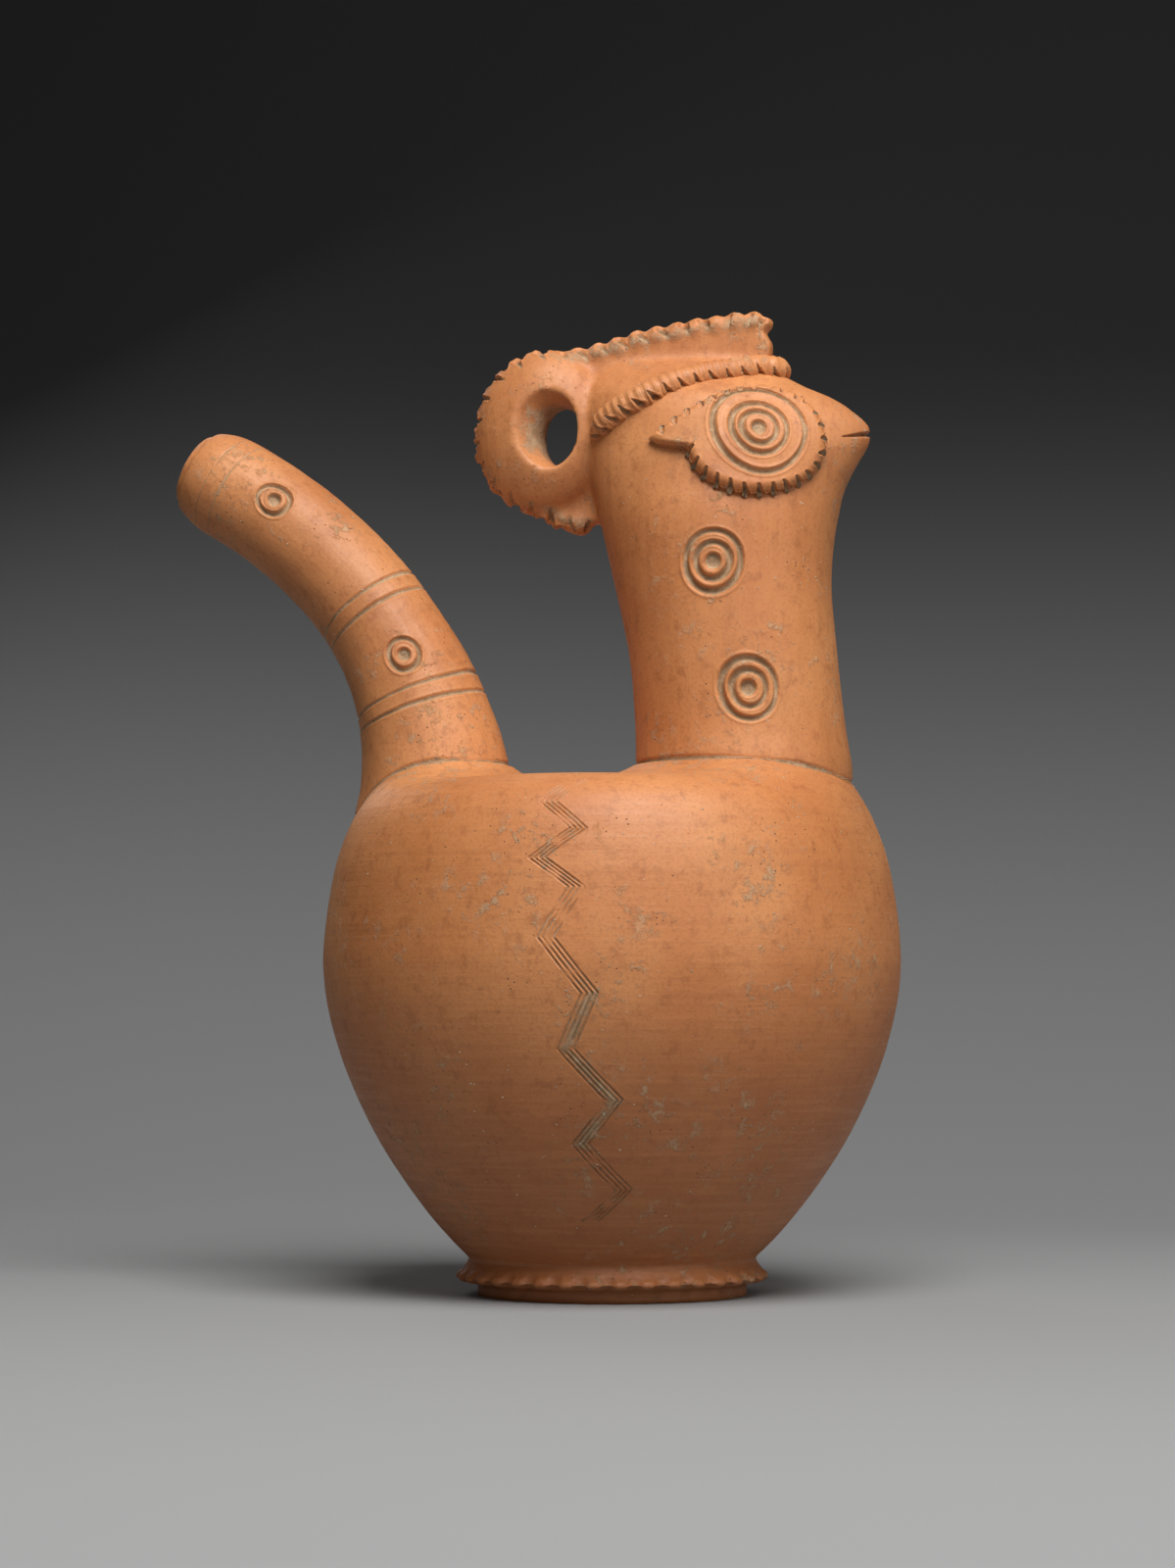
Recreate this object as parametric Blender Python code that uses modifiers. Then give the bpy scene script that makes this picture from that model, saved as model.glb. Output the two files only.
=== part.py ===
"""Bird-shaped spouted vessel of fired clay, hollow and empty, one piece.

Metres, +Z up. The turned body stands on the floor at z = 0 with its axis on
the Z axis. The beak looks along +X and the tail spout leans out along -X.
"""
import math

import bmesh
import bpy
from mathutils import Vector

# Turned body
BELLY_RADIUS = 0.1025
BELLY_HEIGHT = 0.118
BODY_TOP = 0.1806
LOWER_CURVE = 1.79
LOWER_FULLNESS = 0.90
SHOULDER_CURVE = 1.5
SHOULDER_SQUARENESS = 11.0
BODY_WALL = 0.0062
BODY_STEPS = 36
ROOM_STEPS = 20
SHOULDER_ROWS = 8
LOWER_ROWS = 7
ROOM_SHOULDER_ROWS = 7
ROOM_LOWER_ROWS = 5
ROOM_FLOOR_CURVE = 0.6

# Foot with a pinched rim
FOOT_RADIUS = 0.0496
FOOT_JOIN_HEIGHT = 0.0125
RIM_OVERHANG = 0.0058
RIM_HEIGHT = 0.0055
RIM_THICKNESS = 0.0032
STAND_RADIUS = 0.0475
STAND_FLARE = 0.0005
RIM_UNDERCUT = 0.0010
RIM_TOP_INSET = 0.3
RIM_BOTTOM_INSET = 0.2
FLOOR_THICKNESS = 0.0090
RIM_SCOOPS = 36
SCOOP_RADIUS = 0.0034
SCOOP_DEPTH = 0.0020
SCOOP_SIDES = 6
SCOOP_TURN = 0.25

# Tail spout
SPOUT_PLACE = -0.0645
SPOUT_ROOT_HEIGHT = 0.170
SPOUT_LENGTH = 0.1678
SPOUT_ROOT_RADIUS = 0.0262
SPOUT_NECK_RADIUS = 0.0190
SPOUT_COLLAR = 0.0034
SPOUT_COLLAR_LENGTH = 0.065
SPOUT_MOUTH_RADIUS = 0.0142
SPOUT_LIP_LENGTH = 0.016
SPOUT_WALL = 0.0048
SPOUT_LEAN_ROOT = math.radians(-1.4)
SPOUT_LEAN_MOUTH = math.radians(62.0)
SPOUT_BEND = 1.39
SPOUT_ROWS = (0.0, 0.08, 0.16, 0.33, 0.40, 0.56, 0.65, 0.74, 0.82, 0.90, 0.95, 0.98, 1.0)
SPOUT_SIDES = 18
SPOUT_PATH_STEPS = 60
BORE_SIDES = 12
BORE_ROWS = 8

# Neck and head: height shares run from the shoulder to the root of the crest,
# the other shares are of the neck's radius, forwards positive
NECK_PLACE = 0.045
NECK_RADIUS = 0.0375
NECK_WALL = 0.0060
HEAD_HEIGHT = 0.1505
HEAD_COLUMNS = 24
BEAK_WALL_GROWTH = 3.5
HEAD_SECTIONS = (
    # height, back, front, half width, roundness of the front
    (-0.040, -0.95, 1.10, 1.02, 2.00),
    (0.045, -0.95, 1.09, 1.02, 2.00),
    (0.088, -0.95, 1.06, 0.99, 2.00),
    (0.282, -1.00, 0.965, 0.98, 2.00),
    (0.488, -1.17, 0.912, 0.98, 2.00),
    (0.627, -1.30, 0.98, 0.96, 1.95),
    (0.694, -1.37, 1.06, 0.91, 1.80),
    (0.753, -1.42, 1.19, 0.875, 1.60),
    (0.794, -1.45, 1.285, 0.835, 1.45),
    (0.834, -1.48, 1.28, 0.79, 1.37),
    (0.868, -1.50, 1.145, 0.735, 1.40),
    (0.903, -1.50, 0.94, 0.65, 1.52),
    (0.935, -1.50, 0.66, 0.51, 1.78),
    (0.966, -1.48, 0.45, 0.32, 2.00),
    (1.002, -1.44, 0.35, 0.16, 2.00),
)
HEAD_BORE_ROWS = (-0.04, 0.282, 0.530, 0.694, 0.790, 0.868)
BEAK_SLIT_SHARE = 0.814
BEAK_SLIT_HEIGHT = 0.0016
BEAK_SLIT_DEPTH = 0.0060
BEAK_SLIT_RISE = 0.25

# Crest and loop handle, a fin in the middle plane; the outline runs from the
# front over the top and round under the loop, in shares of the head's sizes
CREST_THICKNESS = 0.0100
CREST_NOTCH_PITCH = 0.0074
CREST_NOTCH_DEPTH = 0.0016
CREST_NOTCH_PHASES = (1.0, 0.1, 0.1)
CREST_CENTRE_SHIFT = 0.6
CREST_EDGE = (
    (0.385, 1.072), (0.365, 1.100), (0.27, 1.114), (0.05, 1.119), (-0.35, 1.108),
    (-0.84, 1.089), (-1.285, 1.062), (-1.88, 1.030), (-2.19, 0.994), (-2.40, 0.938),
    (-2.52, 0.871), (-2.56, 0.800), (-2.45, 0.734), (-2.22, 0.682), (-1.95, 0.640),
    (-1.70, 0.604), (-1.42, 0.590),
)
CREST_ROOT = ((-0.90, 0.650), (-0.60, 0.800), (0.10, 0.930), (0.34, 1.000), (0.36, 1.040))
LOOP_PLACE = -1.84
LOOP_HEIGHT = 0.845
LOOP_HALF_LENGTH = 0.0265
LOOP_HALF_HEIGHT = 0.0300
LOOP_HALF_WIDTH = 0.0165
LOOP_COLUMNS = 14
LOOP_ROWS = 8
HOLE_PLACE = -1.66
HOLE_HEIGHT = 0.830
HOLE_HALF_LENGTH = 0.0075
HOLE_HALF_HEIGHT = 0.0108
HOLE_FLARE = 0.0056
HOLE_RISE = 0.5
HOLE_SIDES = 16
HOLE_ROWS = (-1.0, -0.6, 0.0, 0.6, 1.0)

# Brow strip laid along both sides of the head and round its front
BROW_RADIUS = 0.0043
BROW_NOTCH_PITCH = 0.0058
BROW_NOTCH_DEPTH = 0.0014
BROW_LEAST_OUT = 0.0035
BROW_FRONT_STEP = 0.0019
BROW_PATH = (
    (-1.30, 0.816), (-1.08, 0.859), (-0.80, 0.894), (-0.52, 0.926), (-0.24, 0.950),
    (0.05, 0.966), (0.30, 0.976), (0.42, 0.972),
)

# Eye pad on each side, with three stamped rings and a pit
EYE_PLACE = 0.335
EYE_HEIGHT = 0.801
EYE_RADIUS = 0.0235
EYE_TAIL = 0.0120
EYE_LIFT = 0.0034
EYE_SQUASH = 0.87
EYE_TAIL_TURN = math.radians(184.0)
EYE_TAIL_SPREAD_LOW = math.radians(17.0)
EYE_TAIL_SPREAD_HIGH = math.radians(34.0)
EYE_PLAIN_TURNS = (math.radians(100.0), math.radians(185.0))
EYE_NOTCH_SHARE = 0.93
EYE_EDGE = ((0.94, 1.0), (1.0, 0.45), (0.96, -1.0))
EYE_RINGS = (0.0063, 0.0100, 0.0168)
EYE_PIT_RADIUS = 0.0022
EYE_COLUMNS = 22

# Stamps: ring and pit, in the wet clay
STAMP_WIDTH = 0.0013
STAMP_DEPTH = 0.0012
STAMP_SIDES = 12
PIT_SIDES = 6
PIT_BOTTOM = 0.4
PIT_TOP = 1.4
NECK_STAMPS = ((-0.045, 0.495), (0.285, 0.200))
NECK_STAMP_RINGS = (0.0103, 0.0062)
NECK_STAMP_PIT = 0.0025
SPOUT_STAMPS = (0.335, 0.775)
SPOUT_STAMP_RING = 0.0058
SPOUT_STAMP_PIT = 0.0021
SPOUT_STAMP_OFFSET = 0.0058

# Incised pairs of lines round the spout
SPOUT_BANDS = (0.245, 0.472)
BAND_GAP = 0.0062
BAND_WIDTH = 0.0022
BAND_DEPTH = 0.0009

# Combed zigzag down each side of the body, in shares of the body's height
ZIGZAG = (
    (0.0062, 0.978), (-0.0026, 0.936), (0.0088, 0.885), (-0.0045, 0.831), (0.0093, 0.777),
    (-0.0007, 0.685), (0.0138, 0.583), (0.0050, 0.482), (0.0196, 0.388), (0.0068, 0.307),
    (0.0191, 0.220), (0.0064, 0.161),
)
COMB_SPACING = 0.0024
NEAR_COMB_LINES = 2
FAR_COMB_LINES = 1
COMB_WIDTH = 0.0007
COMB_DEPTH = 0.0011

TERRACOTTA = (0.56, 0.20, 0.075, 1.0)
CUTTER_REACH = 0.004
STEP = 0.0005


def clear_scene():
    for item in list(bpy.data.objects):
        bpy.data.objects.remove(item, do_unlink=True)


def new_collection(name):
    collection = bpy.data.collections.new(name)
    bpy.context.scene.collection.children.link(collection)
    return collection


def add_object(name, mesh, collection):
    item = bpy.data.objects.new(name, mesh)
    collection.objects.link(item)
    return item


def as_tool(item):
    """Mark an object as one that only shapes another."""
    item.hide_render = True
    item.display_type = "WIRE"
    return item


def combine(target, tool, operation):
    modifier = target.modifiers.new(tool.name, "BOOLEAN")
    modifier.operation = operation
    modifier.solver = "EXACT"
    modifier.object = tool


def clay_material():
    material = bpy.data.materials.new("burnished_terracotta")
    material.use_nodes = True
    shader = material.node_tree.nodes["Principled BSDF"]
    shader.inputs["Base Color"].default_value = TERRACOTTA
    shader.inputs["Roughness"].default_value = 0.62
    shader.inputs["Metallic"].default_value = 0.0
    return material


def finish_mesh(name, shell):
    shell.normal_update()
    bmesh.ops.recalc_face_normals(shell, faces=shell.faces)
    mesh = bpy.data.meshes.new(name)
    shell.to_mesh(mesh)
    shell.free()
    return mesh


def loft(name, rings, collection):
    """Skin a solid over a row of closed rings, with a flat face on each end."""
    shell = bmesh.new()
    rows = [[shell.verts.new(point) for point in ring] for ring in rings]
    count = len(rings[0])
    for low, high in zip(rows, rows[1:]):
        for i in range(count):
            j = (i + 1) % count
            shell.faces.new((low[i], low[j], high[j], high[i]))
    shell.faces.new(rows[0])
    shell.faces.new(rows[-1])
    return as_tool(add_object(name, finish_mesh(name, shell), collection))


def mix(low, high, share):
    return low + (high - low) * share


def body_radius(height):
    """Outer radius of the turned body at a height above the floor."""
    if height <= BELLY_HEIGHT:
        share = (BELLY_HEIGHT - height) / (BELLY_HEIGHT - FOOT_JOIN_HEIGHT)
        swell = max(0.0, 1.0 - share ** LOWER_CURVE) ** LOWER_FULLNESS
        return mix(FOOT_RADIUS, BELLY_RADIUS, swell)
    share = (height - BELLY_HEIGHT) / (BODY_TOP - BELLY_HEIGHT)
    return BELLY_RADIUS * (1.0 - share ** SHOULDER_CURVE) ** (1.0 / SHOULDER_SQUARENESS)


def shoulder_profile(rows):
    """Points (radius, height) from the middle of the top down to the belly."""
    points = []
    for i in range(rows + 1):
        turn = math.radians(90.0) * (1.0 - i / rows)
        rise = math.sin(turn) ** (2.0 / SHOULDER_CURVE)
        out = max(0.0, math.cos(turn)) ** (2.0 / SHOULDER_SQUARENESS) if i else 0.0
        points.append((BELLY_RADIUS * out, mix(BELLY_HEIGHT, BODY_TOP, rise)))
    return points


def lower_profile(rows):
    heights = [mix(BELLY_HEIGHT, FOOT_JOIN_HEIGHT, (i + 1) / rows) for i in range(rows)]
    return [(body_radius(height), height) for height in heights]


def foot_profile():
    rim = FOOT_RADIUS + RIM_OVERHANG
    return [
        (rim - RIM_TOP_INSET * RIM_OVERHANG, RIM_HEIGHT + RIM_THICKNESS),
        (rim, RIM_HEIGHT + 0.5 * RIM_THICKNESS),
        (rim - RIM_BOTTOM_INSET * RIM_OVERHANG, RIM_HEIGHT),
        (STAND_RADIUS + STAND_FLARE, RIM_HEIGHT - RIM_UNDERCUT),
        (STAND_RADIUS, 0.0),
        (0.0, 0.0),
    ]


def inset(profile, wall):
    """Move each point of an outline inwards by the wall, square to the outline."""
    inner = []
    for before, point, after in zip(profile, profile[1:], profile[2:]):
        along = Vector((after[0] - before[0], after[1] - before[1])).normalized()
        inner.append((point[0] + along[1] * wall, point[1] - along[0] * wall))
    return inner


def turned(name, profile, steps, collection):
    """Turn a profile, given from top to bottom on the +X side, about the Z axis."""
    mesh = bpy.data.meshes.new(name)
    edges = [(i, i + 1) for i in range(len(profile) - 1)]
    mesh.from_pydata([(radius, 0.0, height) for radius, height in profile], edges, [])
    item = add_object(name, mesh, collection)
    screw = item.modifiers.new("turn", "SCREW")
    screw.steps = steps
    screw.render_steps = steps
    screw.use_merge_vertices = True
    screw.merge_threshold = 0.00001
    screw.use_normal_calculate = False
    screw.use_smooth_shade = True
    return item


def spout_radius(share):
    """Outer radius of the spout: wide at its collar, slim, and drawn in at the lip."""
    radius = mix(SPOUT_NECK_RADIUS, SPOUT_ROOT_RADIUS, (1.0 - share) ** 3)
    radius += SPOUT_COLLAR * max(0.0, 1.0 - share * SPOUT_LENGTH / SPOUT_COLLAR_LENGTH)
    lip = max(0.0, 1.0 - (1.0 - share) * SPOUT_LENGTH / SPOUT_LIP_LENGTH)
    return mix(radius, SPOUT_MOUTH_RADIUS, lip ** 2)


def spout_frame(share):
    """Centre, direction and outer-side direction of the spout at a share of its length."""
    count = SPOUT_PATH_STEPS
    x, z = SPOUT_PLACE, SPOUT_ROOT_HEIGHT
    lean = SPOUT_LEAN_ROOT
    for i in range(count):
        middle = share * (i + 0.5) / count
        lean = mix(SPOUT_LEAN_ROOT, SPOUT_LEAN_MOUTH, 1.0 - max(0.0, 1.0 - middle) ** SPOUT_BEND)
        x -= math.sin(lean) * share * SPOUT_LENGTH / count
        z += math.cos(lean) * share * SPOUT_LENGTH / count
    lean = mix(SPOUT_LEAN_ROOT, SPOUT_LEAN_MOUTH, 1.0 - max(0.0, 1.0 - share) ** SPOUT_BEND)
    along = Vector((-math.sin(lean), 0.0, math.cos(lean)))
    across = Vector((math.cos(lean), 0.0, math.sin(lean)))
    return Vector((x, 0.0, z)), along, across


def spout_ring(share, radius, sides, forward=0.0):
    centre, along, across = spout_frame(share)
    ring = []
    for i in range(sides):
        turn = 2.0 * math.pi * (i + 0.5) / sides
        side = Vector((0.0, math.sin(turn) * radius, 0.0))
        ring.append(centre + along * forward + across * math.cos(turn) * radius + side)
    return ring


def spout(collection):
    """Outer form of the spout, with its pairs of incised lines as rows of the same skin."""
    rows = [(share, 0.0) for share in SPOUT_ROWS]
    for middle in SPOUT_BANDS:
        for line in (-0.5, 0.5):
            for edge, depth in ((-0.5, 0.0), (0.0, BAND_DEPTH), (0.5, 0.0)):
                place = middle + (line * BAND_GAP + edge * BAND_WIDTH) / SPOUT_LENGTH
                rows.append((place, depth))
    rings = [spout_ring(share, spout_radius(share) - depth, SPOUT_SIDES)
             for share, depth in sorted(rows)]
    return loft("spout", rings, collection)


def spout_bore(collection):
    shares = [i / BORE_ROWS for i in range(BORE_ROWS + 1)]
    rings = [spout_ring(share, spout_radius(share) - SPOUT_WALL, BORE_SIDES) for share in shares]
    mouth = spout_radius(1.0) - SPOUT_WALL
    rings.append(spout_ring(1.0, mouth, BORE_SIDES, CUTTER_REACH))
    return loft("spout_bore", rings, collection)


def head_x(share):
    return NECK_PLACE + share * NECK_RADIUS


def head_z(share):
    return BODY_TOP + share * HEAD_HEIGHT


def head_section(height):
    """Back, front, half width and front roundness of the head at a height share."""
    rows = HEAD_SECTIONS
    height = min(max(height, rows[0][0]), rows[-1][0])
    for low, high in zip(rows, rows[1:]):
        if height <= high[0]:
            share = (height - low[0]) / (high[0] - low[0])
            return [mix(a, b, share) for a, b in zip(low[1:], high[1:])]
    return list(rows[-1][1:])


def head_ring(height, columns, wall=0.0):
    back, front, half, roundness = head_section(height)
    middle = 0.5 * (back + front)
    thin = wall / NECK_RADIUS
    nose = front - middle - thin * (1.0 + BEAK_WALL_GROWTH * (2.0 - roundness))
    tail = middle - back - thin
    ring = []
    for i in range(columns):
        turn = 2.0 * math.pi * (i + 0.5) / columns
        power = 2.0 / roundness if math.cos(turn) > 0.0 else 1.0
        reach = nose if math.cos(turn) > 0.0 else tail
        x = middle + reach * math.copysign(abs(math.cos(turn)) ** power, math.cos(turn))
        y = (half - thin) * math.copysign(abs(math.sin(turn)) ** power, math.sin(turn))
        ring.append(Vector((head_x(x), y * NECK_RADIUS, head_z(height))))
    return ring


def flank(x, z):
    """Distance of the head's or neck's skin from the middle plane."""
    height = (z - BODY_TOP) / HEAD_HEIGHT
    place = (x - NECK_PLACE) / NECK_RADIUS
    back, front, half, roundness = head_section(height)
    middle = 0.5 * (back + front)
    forward = place > middle
    reach = abs(place - middle) / ((front - middle) if forward else (middle - back))
    power = roundness if forward else 2.0
    return NECK_RADIUS * half * max(0.0, 1.0 - min(reach, 1.0) ** power) ** (1.0 / power)


def head(collection):
    return loft("head", [head_ring(row[0], HEAD_COLUMNS) for row in HEAD_SECTIONS], collection)


def head_bore(collection):
    rings = [head_ring(height, BORE_SIDES, NECK_WALL) for height in HEAD_BORE_ROWS]
    deep = BODY_WALL + NECK_WALL
    rings.insert(0, [point - Vector((0.0, 0.0, deep)) for point in rings[0]])
    return loft("head_bore", rings, collection)


def smooth_path(points, spacing):
    """Even points, about a spacing apart, on a smooth curve through the given ones."""
    ends = [2 * points[0] - points[1], *points, 2 * points[-1] - points[-2]]
    fine = []
    for a, b, c, d in zip(ends, ends[1:], ends[2:], ends[3:]):
        for i in range(12):
            t = i / 12
            fine.append(0.5 * (2 * b + (c - a) * t + (2 * a - 5 * b + 4 * c - d) * t ** 2
                               + (3 * b - a - 3 * c + d) * t ** 3))
    fine.append(points[-1])
    lengths = [0.0]
    for a, b in zip(fine, fine[1:]):
        lengths.append(lengths[-1] + (b - a).length)
    count = max(1, round(lengths[-1] / spacing))
    even, k = [], 0
    for i in range(count + 1):
        goal = lengths[-1] * i / count
        while k < len(lengths) - 2 and lengths[k + 1] < goal:
            k += 1
        even.append(fine[k].lerp(fine[k + 1], (goal - lengths[k]) / (lengths[k + 1] - lengths[k])))
    return even


def head_points(shares):
    return [Vector((head_x(x), 0.0, head_z(z))) for x, z in shares]


def notched_edge():
    """The crest's edge with a cut between every two bumps."""
    phases = CREST_NOTCH_PHASES
    path = smooth_path(head_points(CREST_EDGE), CREST_NOTCH_PITCH / len(phases))
    centre = Vector((head_x(LOOP_PLACE + CREST_CENTRE_SHIFT), 0.0, head_z(LOOP_HEIGHT)))
    edge = []
    for i, point in enumerate(path):
        before, after = path[max(0, i - 1)], path[min(len(path) - 1, i + 1)]
        along = (after - before).normalized()
        inwards = Vector((-along.z, 0.0, along.x))
        if inwards.dot(centre - point) < 0.0:
            inwards.negate()
        edge.append(point + inwards * CREST_NOTCH_DEPTH * phases[i % len(phases)])
    return edge


def crest(collection):
    outline = notched_edge() + head_points(CREST_ROOT)
    curve = bpy.data.curves.new("crest", "CURVE")
    curve.dimensions = "2D"
    curve.fill_mode = "BOTH"
    curve.extrude = CREST_THICKNESS / 2
    spline = curve.splines.new("POLY")
    spline.points.add(len(outline) - 1)
    for slot, point in zip(spline.points, outline):
        slot.co = (point.x, point.z, 0.0, 1.0)
    spline.use_cyclic_u = True
    flat = add_object("crest_outline", curve, collection)
    flat.rotation_euler.x = math.radians(90.0)
    return curve_to_mesh(flat, "crest", collection)


def curve_to_mesh(item, name, collection):
    """Turn a curve object into a closed mesh in the same place."""
    bpy.context.view_layer.update()
    seen = item.evaluated_get(bpy.context.evaluated_depsgraph_get())
    mesh = bpy.data.meshes.new_from_object(seen)
    mesh.transform(item.matrix_world)
    bpy.data.objects.remove(item, do_unlink=True)
    shell = bmesh.new()
    shell.from_mesh(mesh)
    bmesh.ops.remove_doubles(shell, verts=shell.verts, dist=0.000001)
    return as_tool(add_object(name, finish_mesh(name, shell), collection))


def loop(collection):
    """Thick ring of clay round the finger hole."""
    shell = bmesh.new()
    bmesh.ops.create_uvsphere(shell, u_segments=LOOP_COLUMNS, v_segments=LOOP_ROWS, radius=1.0)
    for vertex in shell.verts:
        vertex.co.x = head_x(LOOP_PLACE) + vertex.co.x * LOOP_HALF_LENGTH
        vertex.co.y *= LOOP_HALF_WIDTH
        vertex.co.z = head_z(LOOP_HEIGHT) + vertex.co.z * LOOP_HALF_HEIGHT
    return as_tool(add_object("loop", finish_mesh("loop", shell), collection))


def finger_hole(collection):
    """Oval hole through the loop, opening out towards both faces."""
    reach = LOOP_HALF_WIDTH + CUTTER_REACH
    rings = []
    for share in HOLE_ROWS:
        flare = HOLE_FLARE * share ** 2
        centre = Vector((head_x(HOLE_PLACE) - flare, 0.0, head_z(HOLE_HEIGHT) + HOLE_RISE * flare))
        ring = []
        for i in range(HOLE_SIDES):
            turn = 2.0 * math.pi * (i + 0.5) / HOLE_SIDES
            x = math.cos(turn) * (HOLE_HALF_LENGTH + flare)
            z = math.sin(turn) * (HOLE_HALF_HEIGHT + flare)
            ring.append(centre + Vector((x, share * reach, z)))
        rings.append(ring)
    return loft("finger_hole", rings, collection)


def brow_path():
    """Middle line of the brow strip, from the back of one side round to the other."""
    side = []
    for point in smooth_path(head_points(BROW_PATH), 0.5 * BROW_NOTCH_PITCH):
        out = max(flank(point.x, point.z), BROW_LEAST_OUT)
        side.append(Vector((point.x, -out, point.z)))
    front = side[-1] + Vector((BROW_FRONT_STEP, 0.0, 0.0))
    front.y = 0.0
    return side + [front] + [Vector((p.x, -p.y, p.z)) for p in reversed(side)]


def brow(collection):
    curve = bpy.data.curves.new("brow", "CURVE")
    curve.dimensions = "3D"
    curve.bevel_depth = BROW_RADIUS
    curve.bevel_resolution = 1
    curve.use_fill_caps = True
    path = brow_path()
    spline = curve.splines.new("POLY")
    spline.points.add(len(path) - 1)
    for i, (slot, point) in enumerate(zip(spline.points, path)):
        slot.co = (*point, 1.0)
        slot.radius = 1.0 - (BROW_NOTCH_DEPTH / BROW_RADIUS if i % 2 else 0.0)
    return curve_to_mesh(add_object("brow_path", curve, collection), "brow", collection)


def skin_normal(skin, u, v):
    """Outward direction of a skin on the near side."""
    normal = (skin(u + STEP, v) - skin(u - STEP, v)).cross(skin(u, v + STEP) - skin(u, v - STEP))
    normal.normalize()
    return normal if normal.y < 0.0 else -normal


def head_skin(x, z):
    return Vector((x, -flank(x, z), z))


def body_skin(x, z):
    radius = body_radius(z)
    return Vector((x, -math.sqrt(radius * radius - x * x), z))


def spout_skin(along, across):
    """Near side of the spout; both places are distances, along and across its middle line."""
    share = along / SPOUT_LENGTH
    centre, _, out = spout_frame(share)
    radius = spout_radius(share)
    return centre + out * across + Vector((0.0, -math.sqrt(radius * radius - across ** 2), 0.0))


def cut_groove(shell, points, normals, half_width, depth, closed):
    """Add a cutter with a V section that follows points on a skin."""
    rows = []
    last = len(points) - 1
    for i, (point, normal) in enumerate(zip(points, normals)):
        before = points[i - 1] if closed or i else point
        after = points[(i + 1) % len(points)] if closed or i < last else point
        side = normal.cross(after - before).normalized()
        top = point + normal * depth
        wide = side * half_width * 2.0
        rows.append([shell.verts.new(top + wide), shell.verts.new(point - normal * depth),
                     shell.verts.new(top - wide)])
    pairs = list(zip(rows, rows[1:] + rows[:1])) if closed else list(zip(rows, rows[1:]))
    for low, high in pairs:
        for a in range(3):
            b = (a + 1) % 3
            shell.faces.new((low[a], low[b], high[b], high[a]))
    if not closed:
        shell.faces.new(rows[0])
        shell.faces.new(rows[-1])


def cut_ring(shell, skin, u, v, radius, squash=1.0):
    turns = [2.0 * math.pi * i / STAMP_SIDES for i in range(STAMP_SIDES)]
    places = [(u + radius * math.cos(t), v + radius * squash * math.sin(t)) for t in turns]
    points = [skin(*place) for place in places]
    normals = [skin_normal(skin, *place) for place in places]
    cut_groove(shell, points, normals, STAMP_WIDTH / 2, STAMP_DEPTH, True)


def cut_pit(shell, skin, u, v, radius):
    centre, normal = skin(u, v), skin_normal(skin, u, v)
    turn = normal.to_track_quat("Z", "Y").to_matrix().to_4x4()
    turn.translation = centre
    bmesh.ops.create_cone(shell, cap_ends=True, segments=PIT_SIDES, radius1=PIT_BOTTOM * radius,
                          radius2=PIT_TOP * radius, depth=3.0 * STAMP_DEPTH, matrix=turn)


def mirrored_copy(shell):
    """Repeat what the cutter holds on the far side of the middle plane."""
    copy = bmesh.ops.duplicate(shell, geom=shell.verts[:] + shell.edges[:] + shell.faces[:])
    for item in copy["geom"]:
        if isinstance(item, bmesh.types.BMVert):
            item.co.y = -item.co.y


def stamps(collection):
    """Stamped rings on both sides of the neck and spout, the far ones with one ring each."""
    shell = bmesh.new()
    for x, z in NECK_STAMPS:
        place = (head_x(x), head_z(z))
        cut_ring(shell, head_skin, *place, NECK_STAMP_RINGS[0])
        cut_pit(shell, head_skin, *place, NECK_STAMP_PIT)
    for share in SPOUT_STAMPS:
        place = (share * SPOUT_LENGTH, SPOUT_STAMP_OFFSET)
        cut_ring(shell, spout_skin, *place, SPOUT_STAMP_RING)
        cut_pit(shell, spout_skin, *place, SPOUT_STAMP_PIT)
    mirrored_copy(shell)
    for x, z in NECK_STAMPS:
        for radius in NECK_STAMP_RINGS[1:]:
            cut_ring(shell, head_skin, head_x(x), head_z(z), radius)
    return as_tool(add_object("stamps", finish_mesh("stamps", shell), collection))


def comb_line(shell, shift, side):
    """One line of the zigzag comb, shifted along the body."""
    points, normals = [], []
    for x, share in ZIGZAG:
        place = (x + shift, share * BODY_TOP)
        point, normal = body_skin(*place), skin_normal(body_skin, *place)
        points.append(Vector((point.x, side * point.y, point.z)))
        normals.append(Vector((normal.x, side * normal.y, normal.z)))
    cut_groove(shell, points, normals, COMB_WIDTH / 2, COMB_DEPTH, False)


def zigzags(collection):
    shell = bmesh.new()
    for side, lines in ((1, NEAR_COMB_LINES), (-1, FAR_COMB_LINES)):
        for i in range(lines):
            comb_line(shell, (i - (lines - 1) / 2) * COMB_SPACING, side)
    return as_tool(add_object("zigzags", finish_mesh("zigzags", shell), collection))


def eye_outline(turn):
    """Distance of the eye pad's edge from its middle, with the tail towards the back."""
    away = math.atan2(math.sin(turn - EYE_TAIL_TURN), math.cos(turn - EYE_TAIL_TURN))
    spread = EYE_TAIL_SPREAD_LOW if away > 0.0 else EYE_TAIL_SPREAD_HIGH
    return EYE_RADIUS + EYE_TAIL * math.exp(-(away / spread) ** 2)


def eye_rows():
    """Radius and lift of each ring of the pad inside its plain edge."""
    rows = [(EYE_PIT_RADIUS * 0.45, -STAMP_DEPTH), (EYE_PIT_RADIUS, 0.0)]
    for ring in EYE_RINGS:
        rows += [(ring - STAMP_WIDTH, 0.0), (ring, -STAMP_DEPTH), (ring + STAMP_WIDTH, 0.0)]
    return rows


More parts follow.
